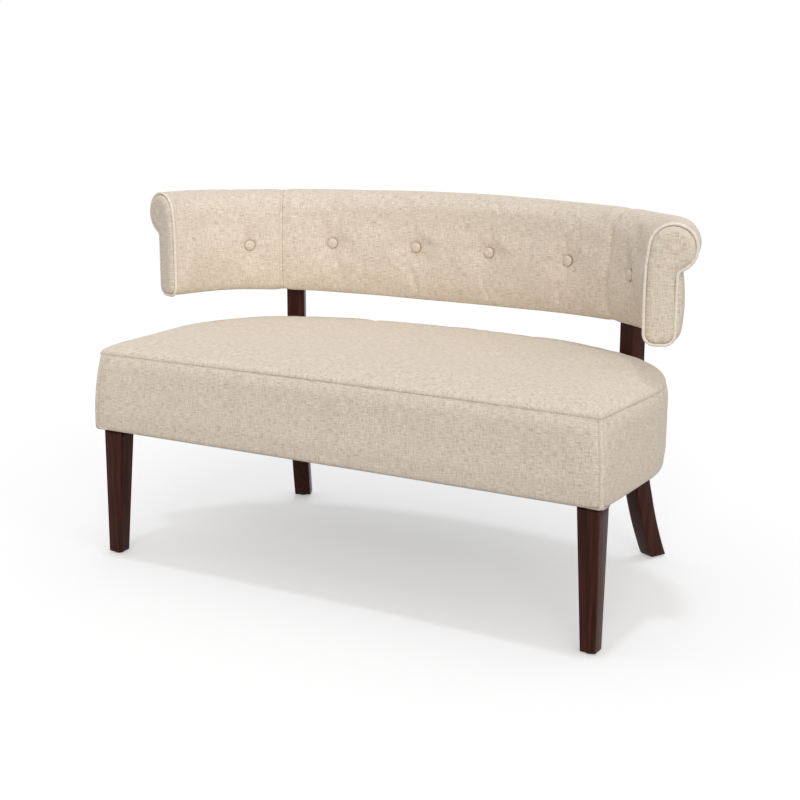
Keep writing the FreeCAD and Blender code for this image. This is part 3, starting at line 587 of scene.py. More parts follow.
def paddedOut(along, s, z):
    # How far section points move outward and up where the arms are stuffed fuller behind their
    # piping: a quarter ellipse up from the piping, faded out towards the posts. It is highest on
    # the outer face at the middle of its height, and on the roll's outer upper side.
    fromEnd = backReach - np.abs(along)
    rise = np.sqrt(1 - (1 - np.clip(fromEnd / arms["rise"], 0, 1)) ** 2)
    share = rise * (1 - smoothStep(arms["fadeFrom"], arms["fadeTo"], fromEnd))
    height = np.clip(1 - ((z - arms["middle"]) / arms["half"]) ** 2, 0, 1) ** arms["fullness"]
    face = arms["swell"] * share * smoothStep(arms["faceFrom"], back["stem"], s)
    face = face * height * (z < arms["faceTop"])
    across, up = s - back["rollSet"], z - back["height"] + back["rollRadius"]
    turn = np.degrees(np.arctan2(up, across))
    onRoll = smoothStep(*arms["rollRises"], turn) * smoothStep(*arms["rollFalls"], turn)
    roll = arms["rollSwell"] * share * onRoll * (z > arms["rollBase"])
    reach = np.maximum(np.hypot(across, up), 1e-6)
    return face + roll * across / reach, roll * up / reach


def bowAt(s, z):
    # share of the crown on the section's inner face, none on the roll or under the back
    middle, half = (faceLow + faceHigh) / 2, (faceHigh - faceLow) / 2
    return np.clip(1 - ((z - middle) / half) ** 2, 0, 1) * (s < back["innerFace"])


def onInner(along, across):
    # inner skin: the section from under the back to the neck, with its crown, which is flatter
    # towards the end of each arm
    s = np.interp(across, innerLength, innerLine[:, 0])
    z = np.interp(across, innerLength, innerLine[:, 1])
    share = smoothStep(0, back["crownFade"], backReach - np.abs(along))
    crown = back["endCrown"] + (back["crown"] - back["endCrown"]) * share
    out, up = paddedOut(along[:, None], s[None], z[None])
    return carried(along[:, None], s[None] - crown[:, None] * bowAt(s, z)[None] + out, z[None] + up)


def onOuter(along, down):
    # outer skin: the section from the neck down the outer face and under the lower edge
    s = np.interp(down, outerLength, outerLine[:, 0])
    z = np.interp(down, outerLength, outerLine[:, 1])
    out, up = paddedOut(along[:, None], s[None], z[None])
    return carried(along[:, None], s[None] + out, z[None] + up)


def acrossAt(z):
    # how far across the section the inner face reaches a height
    pastUnderside = innerLength > 0.03
    rising = pastUnderside & (innerLine[:, 0] < back["innerFace"])
    return float(np.interp(z, innerLine[rising, 1], innerLength[rising]))


buttonSpots = [(headingAtX(backPlan, x), back["buttonHeight"]) for x in back["buttonX"]]
buttonSpots.append((math.radians(back["armButtonTurn"]), back["armButtonHeight"]))
buttonSpots = [(side * turn, z) for turn, z in buttonSpots for side in (-1, 1)]
buttonPlaces = np.array([(np.interp(turn, backPlan["turns"], lengthTable), acrossAt(z))
                         for turn, z in buttonSpots])


def backRelief(along, across):
    # How far the skin is drawn in: a wide bowl and a tight crease round each button, a dip along
    # the panel seams with a ridge and a stitched line beside it, and slightly uneven stuffing.
    x, y = along[:, None], across[None]
    pull = np.zeros((len(along), len(across)))
    for number, (place, reach) in enumerate(buttonPlaces):
        r, turn = np.hypot(x - place, y - reach), np.arctan2(y - reach, x - place)
        folds = (1 + pulls["wide"] * np.sin(5 * turn + number)
                 + pulls["narrow"] * np.sin(8 * turn + 2.3 * number))
        share = (r - pulls["flat"]) / (pulls["radius"] * folds - pulls["flat"])
        bowl = (1 - np.clip(share, 0, 1)) ** 2
        crease = np.exp(-np.clip(r - pulls["creaseFrom"], 0, None) / pulls["creaseFade"])
        pull = np.maximum(pull, pulls["bowl"] * bowl + pulls["crease"] * crease)
    fromSeam = np.abs(np.abs(x) - seamLength)
    dip = seams["dip"] * (1 - smoothStep(0, seams["dipWidth"], fromSeam))
    line = np.abs(x) - seamLength - seams["topstitch"]
    dip = dip + seams["stitchDip"] * np.exp(-(line / seams["stitchWidth"]) ** 2)
    beside = line + seams["topstitch"] * seams["ridgePlace"]
    dip = dip - seams["ridge"] * np.exp(-(beside / seams["ridgeWidth"]) ** 2)
    uneven = stuffing["uneven"] * ripple(x, y, stuffing["seed"], stuffing["size"])
    return pull * pulls["depth"] + dip + uneven


def shapeBack():
    # the inner skin as cloth, on a coarse grid; its moves are read again by the finer panels
    gap = backGrid["coarse"]
    along = np.linspace(-backReach, backReach, int(2 * backReach / gap))
    across = np.linspace(0, innerLength[-1], int(innerLength[-1] / gap))
    points = onInner(along, across)
    points = points - gridNormals(points) * backRelief(along, across)[..., None]
    held = np.zeros(points.shape[:2])  # 1 at the buttons and the edges, half at the seams
    near = np.hypot(along[:, None, None] - buttonPlaces[:, 0],
                    across[None, :, None] - buttonPlaces[:, 1])
    held[near.min(-1) < pulls["flat"]] = 1
    seamRows = np.abs(np.abs(along) - seamLength) < gap * 0.6
    held[seamRows] = np.maximum(held[seamRows], 0.5)
    held[:2], held[-2:], held[:, :4], held[:, -2:] = 1, 1, 1, 1
    moves = puff("back_cloth", points, held, back["pressure"], back["slack"], back["cap"])
    return along, across, moves


coarseAlong, coarseAcross, backMoves = shapeBack()
print("back shaped")


def turnedIn(points, normals, depth=0.0018):
    # grid with its two end rows and columns rolled inward, so that neighbours meet in a groove
    drop = np.zeros(points.shape[:2])
    for order, share in ((1, 0.28), (0, 1.0)):
        for edge in (np.s_[order], np.s_[-1 - order], np.s_[:, order], np.s_[:, -1 - order]):
            drop[edge] = np.maximum(drop[edge], share * depth)
    return points - normals * drop[..., None]


def backPanel(name, first, last, nodes):
    # one inner panel between two places along the back; its grid is closer at its edges, round
    # the buttons and at the stitched lines
    grid = backGrid
    inside = buttonPlaces[(buttonPlaces[:, 0] > first) & (buttonPlaces[:, 0] < last)]
    stitched = [side * (seamLength + seams["topstitch"]) for side in (-1, 1)]
    along = stations(first, last, grid["fine"],
                     [([first, last], grid["edges"]), (inside[:, 0], grid["buttons"]),
                      (stitched, grid["stitches"])])
    across = stations(0, innerLength[-1], grid["fine"],
                      [([0, innerLength[-1]], grid["edges"]), (inside[:1, 1], grid["buttons"])])
    points = onInner(along, across)
    moves = sampled(backMoves, np.interp(along, coarseAlong, np.arange(len(coarseAlong))),
                    np.interp(across, coarseAcross, np.arange(len(coarseAcross))))
    points = points - gridNormals(points) * backRelief(along, across)[..., None] + moves
    normals = gridNormals(points)
    points = turnedIn(points, normals)
    weave = np.stack(np.meshgrid(along, across, indexing="ij"), -1)
    piece = padPiece(name, points, points - normals * back["thick"], weave)
    dress(piece, linen, nodes)
    return along, points, normals


backPanel("inside_back_centre_panel", -seamLength, seamLength,
          ["inside_back_centre", "back_foam_centre", "roll_stuffing_centre"])
stitchLines = []
for side, word in ((-1, "left"), (1, "right")):
    first, last = sorted((side * seamLength, side * backReach))
    along, points, normals = backPanel("inside_back_" + word + "_panel", first, last,
                                       ["inside_back_" + word, "back_foam_" + word,
                                        "roll_stuffing_" + word])
    row = int(np.argmin(np.abs(along - side * (seamLength + seams["topstitch"]))))
    stitchLines.append(stitchRow(points[row, 6:-3], normals[row, 6:-3]))
stitchPiece("back_seam_stitches", stitchLines)


outside = {
    "gapAlong": 0.009, "gapDown": 0.007, "edges": (0.0004, 0.0012, 0.003),
    "ends": (0.0004, 0.0010, 0.0018, 0.003, 0.005, 0.008, 0.012, 0.017),
    "swell": 0.0015, "fullness": 0.7, "uneven": 0.0004, "size": 0.15, "seed": 5,
}


def outsidePanel():
    # the plain outer cover, from the neck down and under the lower edge
    look, bottom = outside, outerLength[-1]
    along = stations(-backReach, backReach, look["gapAlong"],
                     [([-backReach, backReach], look["ends"])])
    down = stations(0, bottom, look["gapDown"], [([0, bottom], look["edges"])])
    points = onOuter(along, down)
    normals = gridNormals(points)
    swell = np.sin(math.pi * np.clip(down / bottom, 0, 1))[None] ** look["fullness"] * look["swell"]
    uneven = look["uneven"] * ripple(along[:, None], down[None], look["seed"], look["size"])
    points = turnedIn(points + normals * (swell + uneven)[..., None], normals)
    weave = np.stack(np.meshgrid(along, down, indexing="ij"), -1)
    piece = padPiece("outside_back_panel", points, points - normals * back["thick"], weave)
    dress(piece, linen, ["outside_back"])


outsidePanel()


boards = {
    "endGap": 0.013,  # from the ends of the arms, behind the end boards
    "shell": {"reach": (0.0370, 0.0500), "height": (0.533, 0.658)},
    "top_rail": {"reach": (0.0370, 0.0670), "height": (0.678, 0.716)},
}


def backBoard(word):
    # a bent board inside the back, between two distances outward and two heights
    along = np.linspace(-1, 1, 120) * (backReach - boards["endGap"])
    s = np.array(boards[word]["reach"])[[0, 1, 1, 0]]
    z = np.array(boards[word]["height"])[[0, 0, 1, 1]]
    piece = gridPiece("back_" + word + "_board", carried(along[:, None], s[None], z[None]),
                      closeColumns=True, caps=True, flip=True)
    dress(piece, frameTimber, ["back_" + word])


backBoard("shell")
backBoard("top_rail")
print("back panels made")

ends = {
    # distances forward are from the ends of the arms
    "pipingRadius": 0.0032, "pipingPlace": 0.0032, "pipingCount": 420,
    "gather": 0.05, "gatherRun": 0.011, "gatherSpan": 0.097, "pipingCloth": 0.02,
    "panelInset": 0.0040, "panelEdge": 0.0020, "panelDome": 0.0100, "domeRun": 0.018,
    "domePower": 2.6, "domeRoot": 1.6, "uneven": 0.0004, "size": 0.05, "seed": 3,
    "formerInset": 0.006, "formerFront": 0.0004, "formerThick": 0.011,
    "lowest": 0.028, "centre": (0.034, 0.63),  # foot of the section, and the place it shrinks to
}


def endOutline(count):
    # closed outline of the section at the arms' ends, walked once round at even steps
    face = innerLine.copy()
    face[:, 0] -= back["endCrown"] * bowAt(face[:, 0], face[:, 1])
    loop = np.concatenate([face, outerLine[1:], face[:1]])
    reached = lengthAlong(loop)
    return onLine(loop, reached, np.linspace(0, reached[-1], count, endpoint=False)), reached[-1]


def endPiping(side, word):
    # bias-cut cord round the outline, a tube that is a little uneven from its gathers
    count = ends["pipingCount"]
    outline, length = endOutline(count)
    ahead = np.roll(outline, -1, 0) - np.roll(outline, 1, 0)
    ahead /= np.linalg.norm(ahead, axis=1, keepdims=True)
    normal = np.stack([ahead[:, 1], -ahead[:, 0]], 1)
    turn = np.linspace(0, 2 * math.pi, 12, endpoint=False)
    reach = np.linspace(0, length, count, endpoint=False)
    bunched = np.sin(reach * 2 * math.pi / ends["gatherSpan"]) ** 2
    uneven = 1 + ends["gather"] * np.sin(reach * 2 * math.pi / ends["gatherRun"]) * bunched
    radius = ends["pipingRadius"] * uneven
    flat = outline[:, None] + normal[:, None] * (radius[:, None] * np.cos(turn))[..., None]
    forward = ends["pipingPlace"] + radius[:, None] * np.sin(turn)
    points = carried(side * (backReach + forward), flat[..., 0], flat[..., 1])
    weave = np.stack(np.meshgrid(np.linspace(0, length, count + 1),
                                 np.linspace(0, ends["pipingCloth"], 13), indexing="ij"), -1)
    weave = weave @ np.array([[0.7071, 0.7071], [-0.7071, 0.7071]])  # cut on the bias, 45 degrees
    piece = gridPiece("end_piping_" + word + "_cord", points, weave, True, True, flip=side < 0)
    # the cord's cloth is the cover cloth painted paler, as a highlight on the round cord
    dress(piece, paleLitPipingLinen, ["end_piping_" + word])


def endGrid(inset):
    # The section as a grid, drawn in by an inset, and each point's distance from the outline. Rows
    # join the inner face of the outline to its outer face.
    outline = endOutline(600)[0]
    foot = (ends["lowest"], back["base"])
    lowest = int(np.argmin(np.hypot(*(outline - foot).T)))
    loop = np.roll(outline, -lowest, 0)
    top = int(np.argmin(np.hypot(loop[:, 0] - back["rollSet"], loop[:, 1] - back["height"])))
    innerSide, outerSide = loop[:top + 1], np.concatenate([loop[top:], loop[:1]])[::-1]
    share = 0.5 - 0.5 * np.cos(np.linspace(0, math.pi, 96))
    firsts = onLine(innerSide, lengthAlong(innerSide) / lengthAlong(innerSide)[-1], share)
    lasts = onLine(outerSide, lengthAlong(outerSide) / lengthAlong(outerSide)[-1], share)
    v = 0.5 - 0.5 * np.cos(np.linspace(0, math.pi, 34))[None, :, None]
    flat = firsts[:, None] * (1 - v) + lasts[:, None] * v
    near = np.linalg.norm(flat[:, :, None] - outline[::2], axis=-1).min(-1)
    towards = np.array(ends["centre"]) - flat
    towards /= np.maximum(np.linalg.norm(towards, axis=-1, keepdims=True), 1e-9)
    return flat + towards * np.clip(inset - near, 0, None)[..., None], near


def endPanel(side, word):
    # domed pad inside the piping: the dome rises with the distance from the outline
    flat, near = endGrid(ends["panelInset"])
    rise = np.clip((near - ends["panelInset"] * 0.4) / ends["domeRun"], 0, 1)
    dome = (1 - (1 - rise) ** ends["domePower"]) ** (1 / ends["domeRoot"]) * ends["panelDome"]
    x, z = flat[..., 0], flat[..., 1]
    dome = dome + ends["uneven"] * ripple(x, z, ends["seed"], ends["size"]) * rise
    front = carried(side * (backReach + ends["panelEdge"] + dome), x, z)
    rear = carried(side * backReach, x, z)
    piece = padPiece("end_panel_" + word + "_pad", front, rear, flat, flip=side > 0)
    dress(piece, linen, ["end_panel_" + word])


def endFormer(side, word):
    # board inside each end, behind the pad
    flat = endGrid(ends["formerInset"])[0]
    front, rear = [carried(side * (backReach - depth), flat[..., 0], flat[..., 1])
                   for depth in (ends["formerFront"], ends["formerThick"])]
    piece = padPiece("end_former_" + word + "_board", front, rear, flat, flip=side > 0)
    dress(piece, frameTimber, ["end_former_" + word])


for side, word in ((-1, "left"), (1, "right")):
    endPiping(side, word)
    endPanel(side, word)
    endFormer(side, word)


button = {
    "radius": 0.0107, "thick": 0.0070, "sides": 36, "round": 0.8, "dome": 0.75, "domeShare": 0.62,
    "under": ((0.97, 0.2), (0.86, 0.38), (0.3, 0.4)),  # shares of the radius and the thickness
    "sunk": 0.8, "tilt": 0.05,  # set in by a share of the thickness, and how far each leans
}


def coveredButtons():
    # Six domed buttons: a superellipse profile turned round the axis that points out of the back.
    radius, thick, sides = button["radius"], button["thick"], button["sides"]
    turn = np.linspace(0, 2 * math.pi, sides, endpoint=False)
    fall = np.linspace(0.04, math.pi / 2, 10)
    under = np.array(button["under"])
    r = np.concatenate([np.sin(fall) ** button["round"] * radius, radius * under[:, 0]])
    h = np.concatenate([np.cos(fall) ** button["dome"] * thick * button["domeShare"],
                        -thick * under[:, 1]])
    blocks, uvs, faces = [], [], []
    rows, columns = gridCorners(len(r), sides, closeColumns=True)
    ring = np.arange(sides)
    for number, (heading, z) in enumerate(buttonSpots):
        place, outward = planPoint(backPlan, np.array(heading))
        depth = pulls["depth"] - back["crown"] * float(bowAt(0.0, z)) - thick * button["sunk"]
        tangent = np.array([outward[1], -outward[0]])
        spread, rise = r[:, None] * np.cos(turn), r[:, None] * np.sin(turn)
        out = depth - h[:, None] + button["tilt"] * math.sin(2.1 * number) * spread
        flat = place + out[..., None] * outward + spread[..., None] * tangent
        blocks.append(np.concatenate([flat, (z + rise)[..., None]], -1).reshape(-1, 3))
        base = number * len(r) * sides
        faces += [rows * sides + columns % sides + base, ring[None] + base,
                  ring[None, ::-1] + base + (len(r) - 1) * sides]
        grid = np.stack([spread, rise], -1) * 1.2 + number * 0.1
        uvs += [grid[rows, columns % sides], grid[0], grid[-1, ::-1]]
    piece = addPiece("covered_buttons", np.concatenate(blocks), faces, uvs)
    dress(piece, linen, ["back_buttons"])


coveredButtons()
print("back ends and buttons made")


# Seat

# half width, depth, spring, corner radius, and the headings where the arcs meet
seatPlan = fiveArcs(0.565, 0.587, 0.240, 0.299, 8.0, 30.7)
seat = {
    "base": 0.273, "seam": 0.430, "crown": 0.029, "spring": 0.240, "half": 0.565,
    "hemHalf": 0.567, "seamHalf": 0.556, "seamFront": 0.012, "hollow": 0.011, "hemLift": 0.008,
    "crownRun": 0.130, "crownPower": 2.4, "depth": 0.58,
    "splitTurn": 50,  # heading in degrees where the grid's sides end and its rear starts
    "uneven": 0.0006, "size": 0.16, "seed": 21,
    "tuftX": (-0.424, -0.212, 0.0, 0.212, 0.424), "tuftY": 0.295, "tuftSink": 0.007,
    "tuftRadius": 0.042, "tuftFall": 1.8, "tuftHeld": 0.009,
    "wide": 0.12, "narrow": 0.08,  # shares by which 4 wide and 7 narrow folds vary a tuft
    "pressure": 2.0, "slack": 0.003, "cap": 0.004, "edgeHeld": 0.4, "edgeStill": 0.025,
    "coarse": 0.010, "fine": 0.0075, "turnUnder": 0.004, "underDrop": 0.0015,
    "edges": (0.00015, 0.0006, 0.0014, 0.0026, 0.0042, 0.0062, 0.0087, 0.012, 0.016),
}
farAway = 9.0  # metres, past any place on the settee
# each rear post: its heading, how far out it stands from the back's inner line, its width there
# and at the floor, and how the cloth clears its face and wraps round its sides
post = {"turn": math.radians(26), "stand": 0.067, "width": 0.039, "foot": 0.037,
        "clear": 0.0006, "wrap": 0.006, "wrapDepth": 0.06, "steps": (0.001, 0.002, 0.0032)}
postPlace, postOut = planPoint(backPlan, np.array(post["turn"]), post["stand"])
postSide = np.array([postOut[1], -postOut[0]])


def frontPath(level, count=241):
    # the hollow front line between its corners; level 0 is the hem and 1 the seam
    half = seat["hemHalf"] + (seat["seamHalf"] - seat["hemHalf"]) * level
    x = np.linspace(-half, half, count)
    y = frontLine + seat["seamFront"] * level + seat["hollow"] * (1 - (x / half) ** 2)
    return np.stack([x, y], 1)


def surroundPath(level):
    # from the right front corner along the side, round the rear and back to the left front corner
    spring = np.array([seat["half"], frontLine + seat["spring"]])
    share = np.linspace(0, 1, 80)[:-1, None]
    right = frontPath(level)[-1] * (1 - share) + spring * share
    arcs = planPoint(seatPlan, np.linspace(math.pi / 2, -math.pi / 2, 1200))[0]
    return np.concatenate([right, arcs, right[::-1] * (-1, 1)])


seamLine = surroundPath(1)
seamReach = lengthAlong(seamLine)
splitSpot = planPoint(seatPlan, np.array(math.radians(seat["splitTurn"])))[0]
splitReach = seamReach[int(np.argmin(np.linalg.norm(seamLine - splitSpot, axis=1)))]


def seatDistances(x, y):
    # distance in from the front seam, and in from the seam along the sides and the rear
    half = seat["seamHalf"]
    fromFront = y - (frontLine + seat["seamFront"] + seat["hollow"] * (1 - (x / half) ** 2))
    lean = np.array([seat["half"] - half, seat["spring"] - seat["seamFront"]])
    lean /= np.linalg.norm(lean)
    fromSide = (half - np.abs(x)) * lean[1] + (y - frontLine - seat["seamFront"]) * lean[0]
    fromRest = np.where(y < frontLine + seat["spring"], fromSide, farAway)
    for centre, radius, low, high in zip(seatPlan["centres"], seatPlan["radii"], seatPlan["turns"],
                                         seatPlan["turns"][1:]):
        heading = np.arctan2(x - centre[0], y - centre[1])
        reach = radius - np.hypot(x - centre[0], y - centre[1])
        fromRest = np.where((heading >= low - 1e-6) & (heading <= high + 1e-6),
                            np.minimum(fromRest, reach), fromRest)
    return np.clip(fromFront, 0, None), np.clip(fromRest, 0, None)


def patch(u, v):
    # the seat's plan as a grid: the four boundary lines blended, u to the right and v to the rear
    line, end = frontPath(1), seamReach[-1]
    reached = lengthAlong(line)
    fromLeft = end - splitReach - u * (end - 2 * splitReach)
    front = onLine(line, reached, u * reached[-1])[:, None]
    right = onLine(seamLine, seamReach, v * splitReach)[None]
    rear = onLine(seamLine, seamReach, fromLeft)[:, None]
    left = onLine(seamLine, seamReach, end - v * splitReach)[None]
    u, v = u[:, None, None], v[None, :, None]
    corners = (((1 - u) * front[0, 0] + u * front[-1, 0]) * (1 - v)
               + ((1 - u) * rear[0, 0] + u * rear[-1, 0]) * v)
    return (1 - v) * front + v * rear + (1 - u) * left + u * right - corners


def seatTop(u, v):
    # Heights over the plan: a superellipse of the distance from the seam, less five blind tufts,
    # and slight unevenness. Near a front corner the distances from the front and from the side
    # are joined smoothly: their product over the fourth root of the sum of fourth powers.
    flat = patch(u, v)
    x, y = flat[..., 0], flat[..., 1]
    fromFront, fromRest = seatDistances(x, y)
    near = fromFront * fromRest / np.maximum(fromFront ** 4 + fromRest ** 4, 1e-16) ** 0.25
    share = np.clip(near / seat["crownRun"], 0, 1)
    rise = (1 - (1 - share) ** seat["crownPower"]) ** (1 / seat["crownPower"])
    sink = 0 * x
    for number, place in enumerate(seat["tuftX"]):
        dx, dy = x - place, y - frontLine - seat["tuftY"]
        r, turn = np.hypot(dx, dy), np.arctan2(dy, dx)
        folds = (1 + seat["wide"] * np.sin(4 * turn + number)
                 + seat["narrow"] * np.sin(7 * turn))
        fall = 1 - np.clip(r / (seat["tuftRadius"] * folds), 0, 1)
        sink = np.maximum(sink, fall ** seat["tuftFall"])
    z = seat["seam"] + seat["crown"] * rise - sink * seat["tuftSink"]
    uneven = seat["uneven"] * ripple(x, y, seat["seed"], seat["size"])
    z = z + uneven * smoothStep(0, 0.06, near)  # none at the seam
    return np.concatenate([flat, z[..., None]], -1)


def tucked(points):
    # cloth that would meet a rear post is drawn in front of its face, and wraps round its sides
    points = points.copy()
    half = post["width"] / 2
    for side in (-1, 1):
        flat = points[..., :2] * (side, 1) - postPlace
        out, aside = flat @ postOut, np.abs(flat @ postSide)
        edge = half + post["wrap"]
        free = post["wrapDepth"] * smoothStep(half, edge, aside) - post["clear"]
        limit = np.where(aside > edge, farAway, free)
        points[..., :2] += np.minimum(limit - out, 0)[..., None] * postOut * (side, 1)
    return points


def postStations(line, reached):
    # distances along a line where it passes the sides of the two posts
    marks = []
    for side in (-1, 1):
        flat = line * (side, 1) - postPlace
        near = np.abs(flat @ postOut) < 0.05
        for edge in (-1, 1):
            gap = np.abs(flat @ postSide - edge * (post["width"] / 2 + post["wrap"] / 2))
            gap = np.where(near, gap, farAway)
            marks.append(float(reached[int(np.argmin(gap))]))
    return sorted(marks)


def walked(points):
    # the weave of a grid: distance walked along each direction from its middle line
    weave = np.zeros(points.shape[:2] + (2,))
    for axis in (0, 1):
        steps = np.linalg.norm(np.diff(points, axis=axis), axis=-1)
        none = np.zeros_like(np.take(steps, [0], axis))
        reached = np.concatenate([none, np.cumsum(steps, axis)], axis)
        weave[..., axis] = reached - np.take(reached, [reached.shape[axis] // 2], axis)
    return weave


def shapeSeat():
    # the top cover as cloth on a coarse grid, held along the seam and at the tufts
    u = np.linspace(0, 1, int(2 * seat["seamHalf"] / seat["coarse"]))
    v = np.linspace(0, 1, int(seat["depth"] / seat["coarse"]))
    points = seatTop(u, v)
    held = np.full(points.shape[:2], seat["edgeHeld"])
    held[2:-2, 2:-2] = 0  # only the seam's own row and the one beside it are held
    held[:1], held[-1:], held[:, :1], held[:, -1:] = 1, 1, 1, 1
    for place in seat["tuftX"]:
        r = np.hypot(points[..., 0] - place, points[..., 1] - frontLine - seat["tuftY"])
        held[r < seat["tuftHeld"]] = 1
    moves = puff("seat_cloth", points, held, seat["pressure"], seat["slack"], seat["cap"])
    return u, v, moves


coarseU, coarseV, seatMoves = shapeSeat()


def seatPad():
    # the finer top cover with its moves, closed underneath by a flat inner side
    steps, width, depth = np.array(seat["edges"]), 2 * seat["seamHalf"], seat["depth"]
    atPosts = [1 - (mark - splitReach) / (seamReach[-1] - 2 * splitReach)
               for mark in postStations(seamLine, seamReach)]
    u = stations(0, 1, seat["fine"] / width, [(atPosts, np.array(post["steps"]) / width),
                                              ([0, 1], steps / width)])
    v = stations(0, 1, seat["fine"] / depth, [([0, 1], steps / depth)])
    points = seatTop(u, v)
    moves = sampled(seatMoves, u * (len(coarseU) - 1), v * (len(coarseV) - 1))
    near = np.minimum(*seatDistances(points[..., 0], points[..., 1]))
    points = tucked(points + moves * smoothStep(0, seat["edgeStill"], near)[..., None])
    towards = np.array([0.0, frontLine + seat["tuftY"]]) - points[..., :2]
    towards /= np.maximum(np.linalg.norm(towards, axis=-1, keepdims=True), 1e-9)
    under = points.copy()
    under[..., :2] += towards * seat["turnUnder"]
    under[..., 2] = seat["seam"] - seat["underDrop"]
    return padPiece("seat_top_pad", points, under, walked(points))


dress(seatPad(), linen, ["seat_top_cover", "seat_wadding", "seat_foam"])
print("seat top made")

bands = {
    # cornerBow and bowRun bow the front corners out, turnIn closes the ends into their seams, and
    # pucker is the small gathering of the seam under the top
    "bulge": 0.0050, "shoulder": 0.18, "under": 0.030, "fine": 0.008, "stitch": 0.0075,
    "sag": 0.0035, "cornerBow": 0.0036, "bowRun": 0.09, "uneven": 0.0006, "size": 0.14,
    "turnIn": 0.0018, "turnRun": 0.0036, "turnFall": 1.4, "groove": 0.0009, "grooveWidth": 0.0013,
    "pucker": 0.0005, "puckerRun": 0.043,
    "ends": (0.0004, 0.0010, 0.0019, 0.0032, 0.005, 0.0062, 0.0075, 0.0088),
    # the lip in the seam: inset and drop from the seam's height
    "lip": ((0.006, 0.0008), (0.0013, 0.0004), (0.0005, 0.0009), (0.0001, 0.0022)),
    # round the hem: inset, drop from the end of the face and share of the bulge
    "hem": ((0, 0, 0.18), (0.0004, 0.003, 0.1), (0.0014, 0.0056, 0), (0.0032, 0.0074, 0),
            (0.0055, 0.008, 0), (0.016, 0.008, 0)),
}


def bandSection():
    # Closed section of a side band: inset from the outline, level up the side, height and share of
    # the bulge. It runs from the lip in the seam down the face, round the hem and back up inside.
    low, seam, under = seat["base"] + seat["hemLift"], seat["seam"], bands["under"]
    rows = [(inset, 1, seam - drop, 0) for inset, drop in bands["lip"]]
    top = rows[-1][2]
    levels = 1 - np.linspace(0, 1, 26)[1:-1] ** 1.3
    rounds = 1 - (1 - np.clip((1 - levels) / bands["shoulder"], 0, 1)) ** 2
    rounds = rounds * (0.8 + 0.2 * levels)
    rows += [(0, level, low + (top - low) * level, share * min(1, 0.2 + level * 4))
             for level, share in zip(levels, rounds)]
    rows += [(inset, 0, low - drop, share) for inset, drop, share in bands["hem"]]
    rows += [(under, 0, low - 0.0076, 0), (under, 0, low - 0.004, 0), (0.010, 0, low - 0.002, 0),
             (0.009, 0.5, (low + top) / 2, 0), (0.010, 1, top - 0.006, 0)]
    return np.array(rows)


def band(name, hem, seam, first, last, corners, nodes, seed):
    # One side band between two distances along the outline. hem and seam are its lines at the
    # lower edge and at the seam, point for point, and corners says which of its ends is at a front
    # corner: there it turns in, has a stitched groove, and bows out at mid height.
    look, reached = bands, lengthAlong(seam)
    groups = [([first, last], look["ends"])]
    if seam is seamLine:
        marks = [mark for mark in postStations(seam, reached) if first < mark < last]
        groups.append((marks, post["steps"]))
    at = stations(first, last, look["fine"], groups)
    inset, level, height, bulge = bandSection().T
    onFace = bulge > 0
    lineHem, lineSeam = onLine(hem, reached, at), onLine(seam, reached, at)
    ahead = np.gradient(lineSeam, axis=0)
    ahead /= np.linalg.norm(ahead, axis=1, keepdims=True)
    outward = np.stack([ahead[:, 1], -ahead[:, 0]], 1)
    flat = lineHem[:, None] * (1 - level[None, :, None]) + lineSeam[:, None] * level[None, :, None]
    fromCorner = np.minimum(at - first if corners[0] else farAway + 0 * at,
                            last - at if corners[1] else farAway + 0 * at)
    turnIn = look["turnIn"] * (1 - smoothStep(0, look["turnRun"], fromCorner)) ** look["turnFall"]
    groove = look["groove"] * np.exp(-((fromCorner - look["stitch"]) / look["grooveWidth"]) ** 2)
    uneven = look["uneven"] * ripple(at[:, None], height[None], seed, look["size"])
    swell = bulge * look["bulge"] * smoothStep(0, 0.05, fromCorner)[:, None] ** 0.5
    out = swell + uneven * onFace - inset[None] - turnIn[:, None] - groove[:, None] * onFace
    bow = look["cornerBow"] * (1 - smoothStep(0, look["bowRun"], fromCorner))
    bow = bow[:, None] * (4 * level * (1 - level))[None]
    diagonal = np.stack([np.sign(lineSeam[:, 0]), -np.ones(len(at))], -1)
    flat = flat + outward[:, None] * out[..., None] + diagonal[:, None] * bow[..., None]
    pucker = look["pucker"] * np.sin(at * 2 * math.pi / look["puckerRun"] + seed)
    middle = np.clip(np.sin(math.pi * (at - first) / (last - first)), 0, 1)
    sag = look["sag"] * np.sqrt(middle)
    z = height[None] + pucker[:, None] * (level[None] > 0.99) - sag[:, None] * (1 - level[None])
    points = tucked(np.concatenate([flat, z[..., None]], -1))
    run = np.concatenate([[0], np.cumsum(np.hypot(np.diff(inset), np.diff(height)))])
    weave = np.stack(np.meshgrid(at, np.append(run, run[-1] + 0.01), indexing="ij"), -1)
    piece = gridPiece(name, points, weave, closeColumns=True, caps=True, flip=True)
    dress(piece, linen, nodes)
    rows = []
    for atCorner, place in zip(corners, (first + look["stitch"], last - look["stitch"])):
        if atCorner:
            row = int(np.argmin(np.abs(at - place)))
            line = points[row, onFace]
            rows.append(stitchRow(line, np.tile(np.append(outward[row], 0), (len(line), 1))))
    return rows


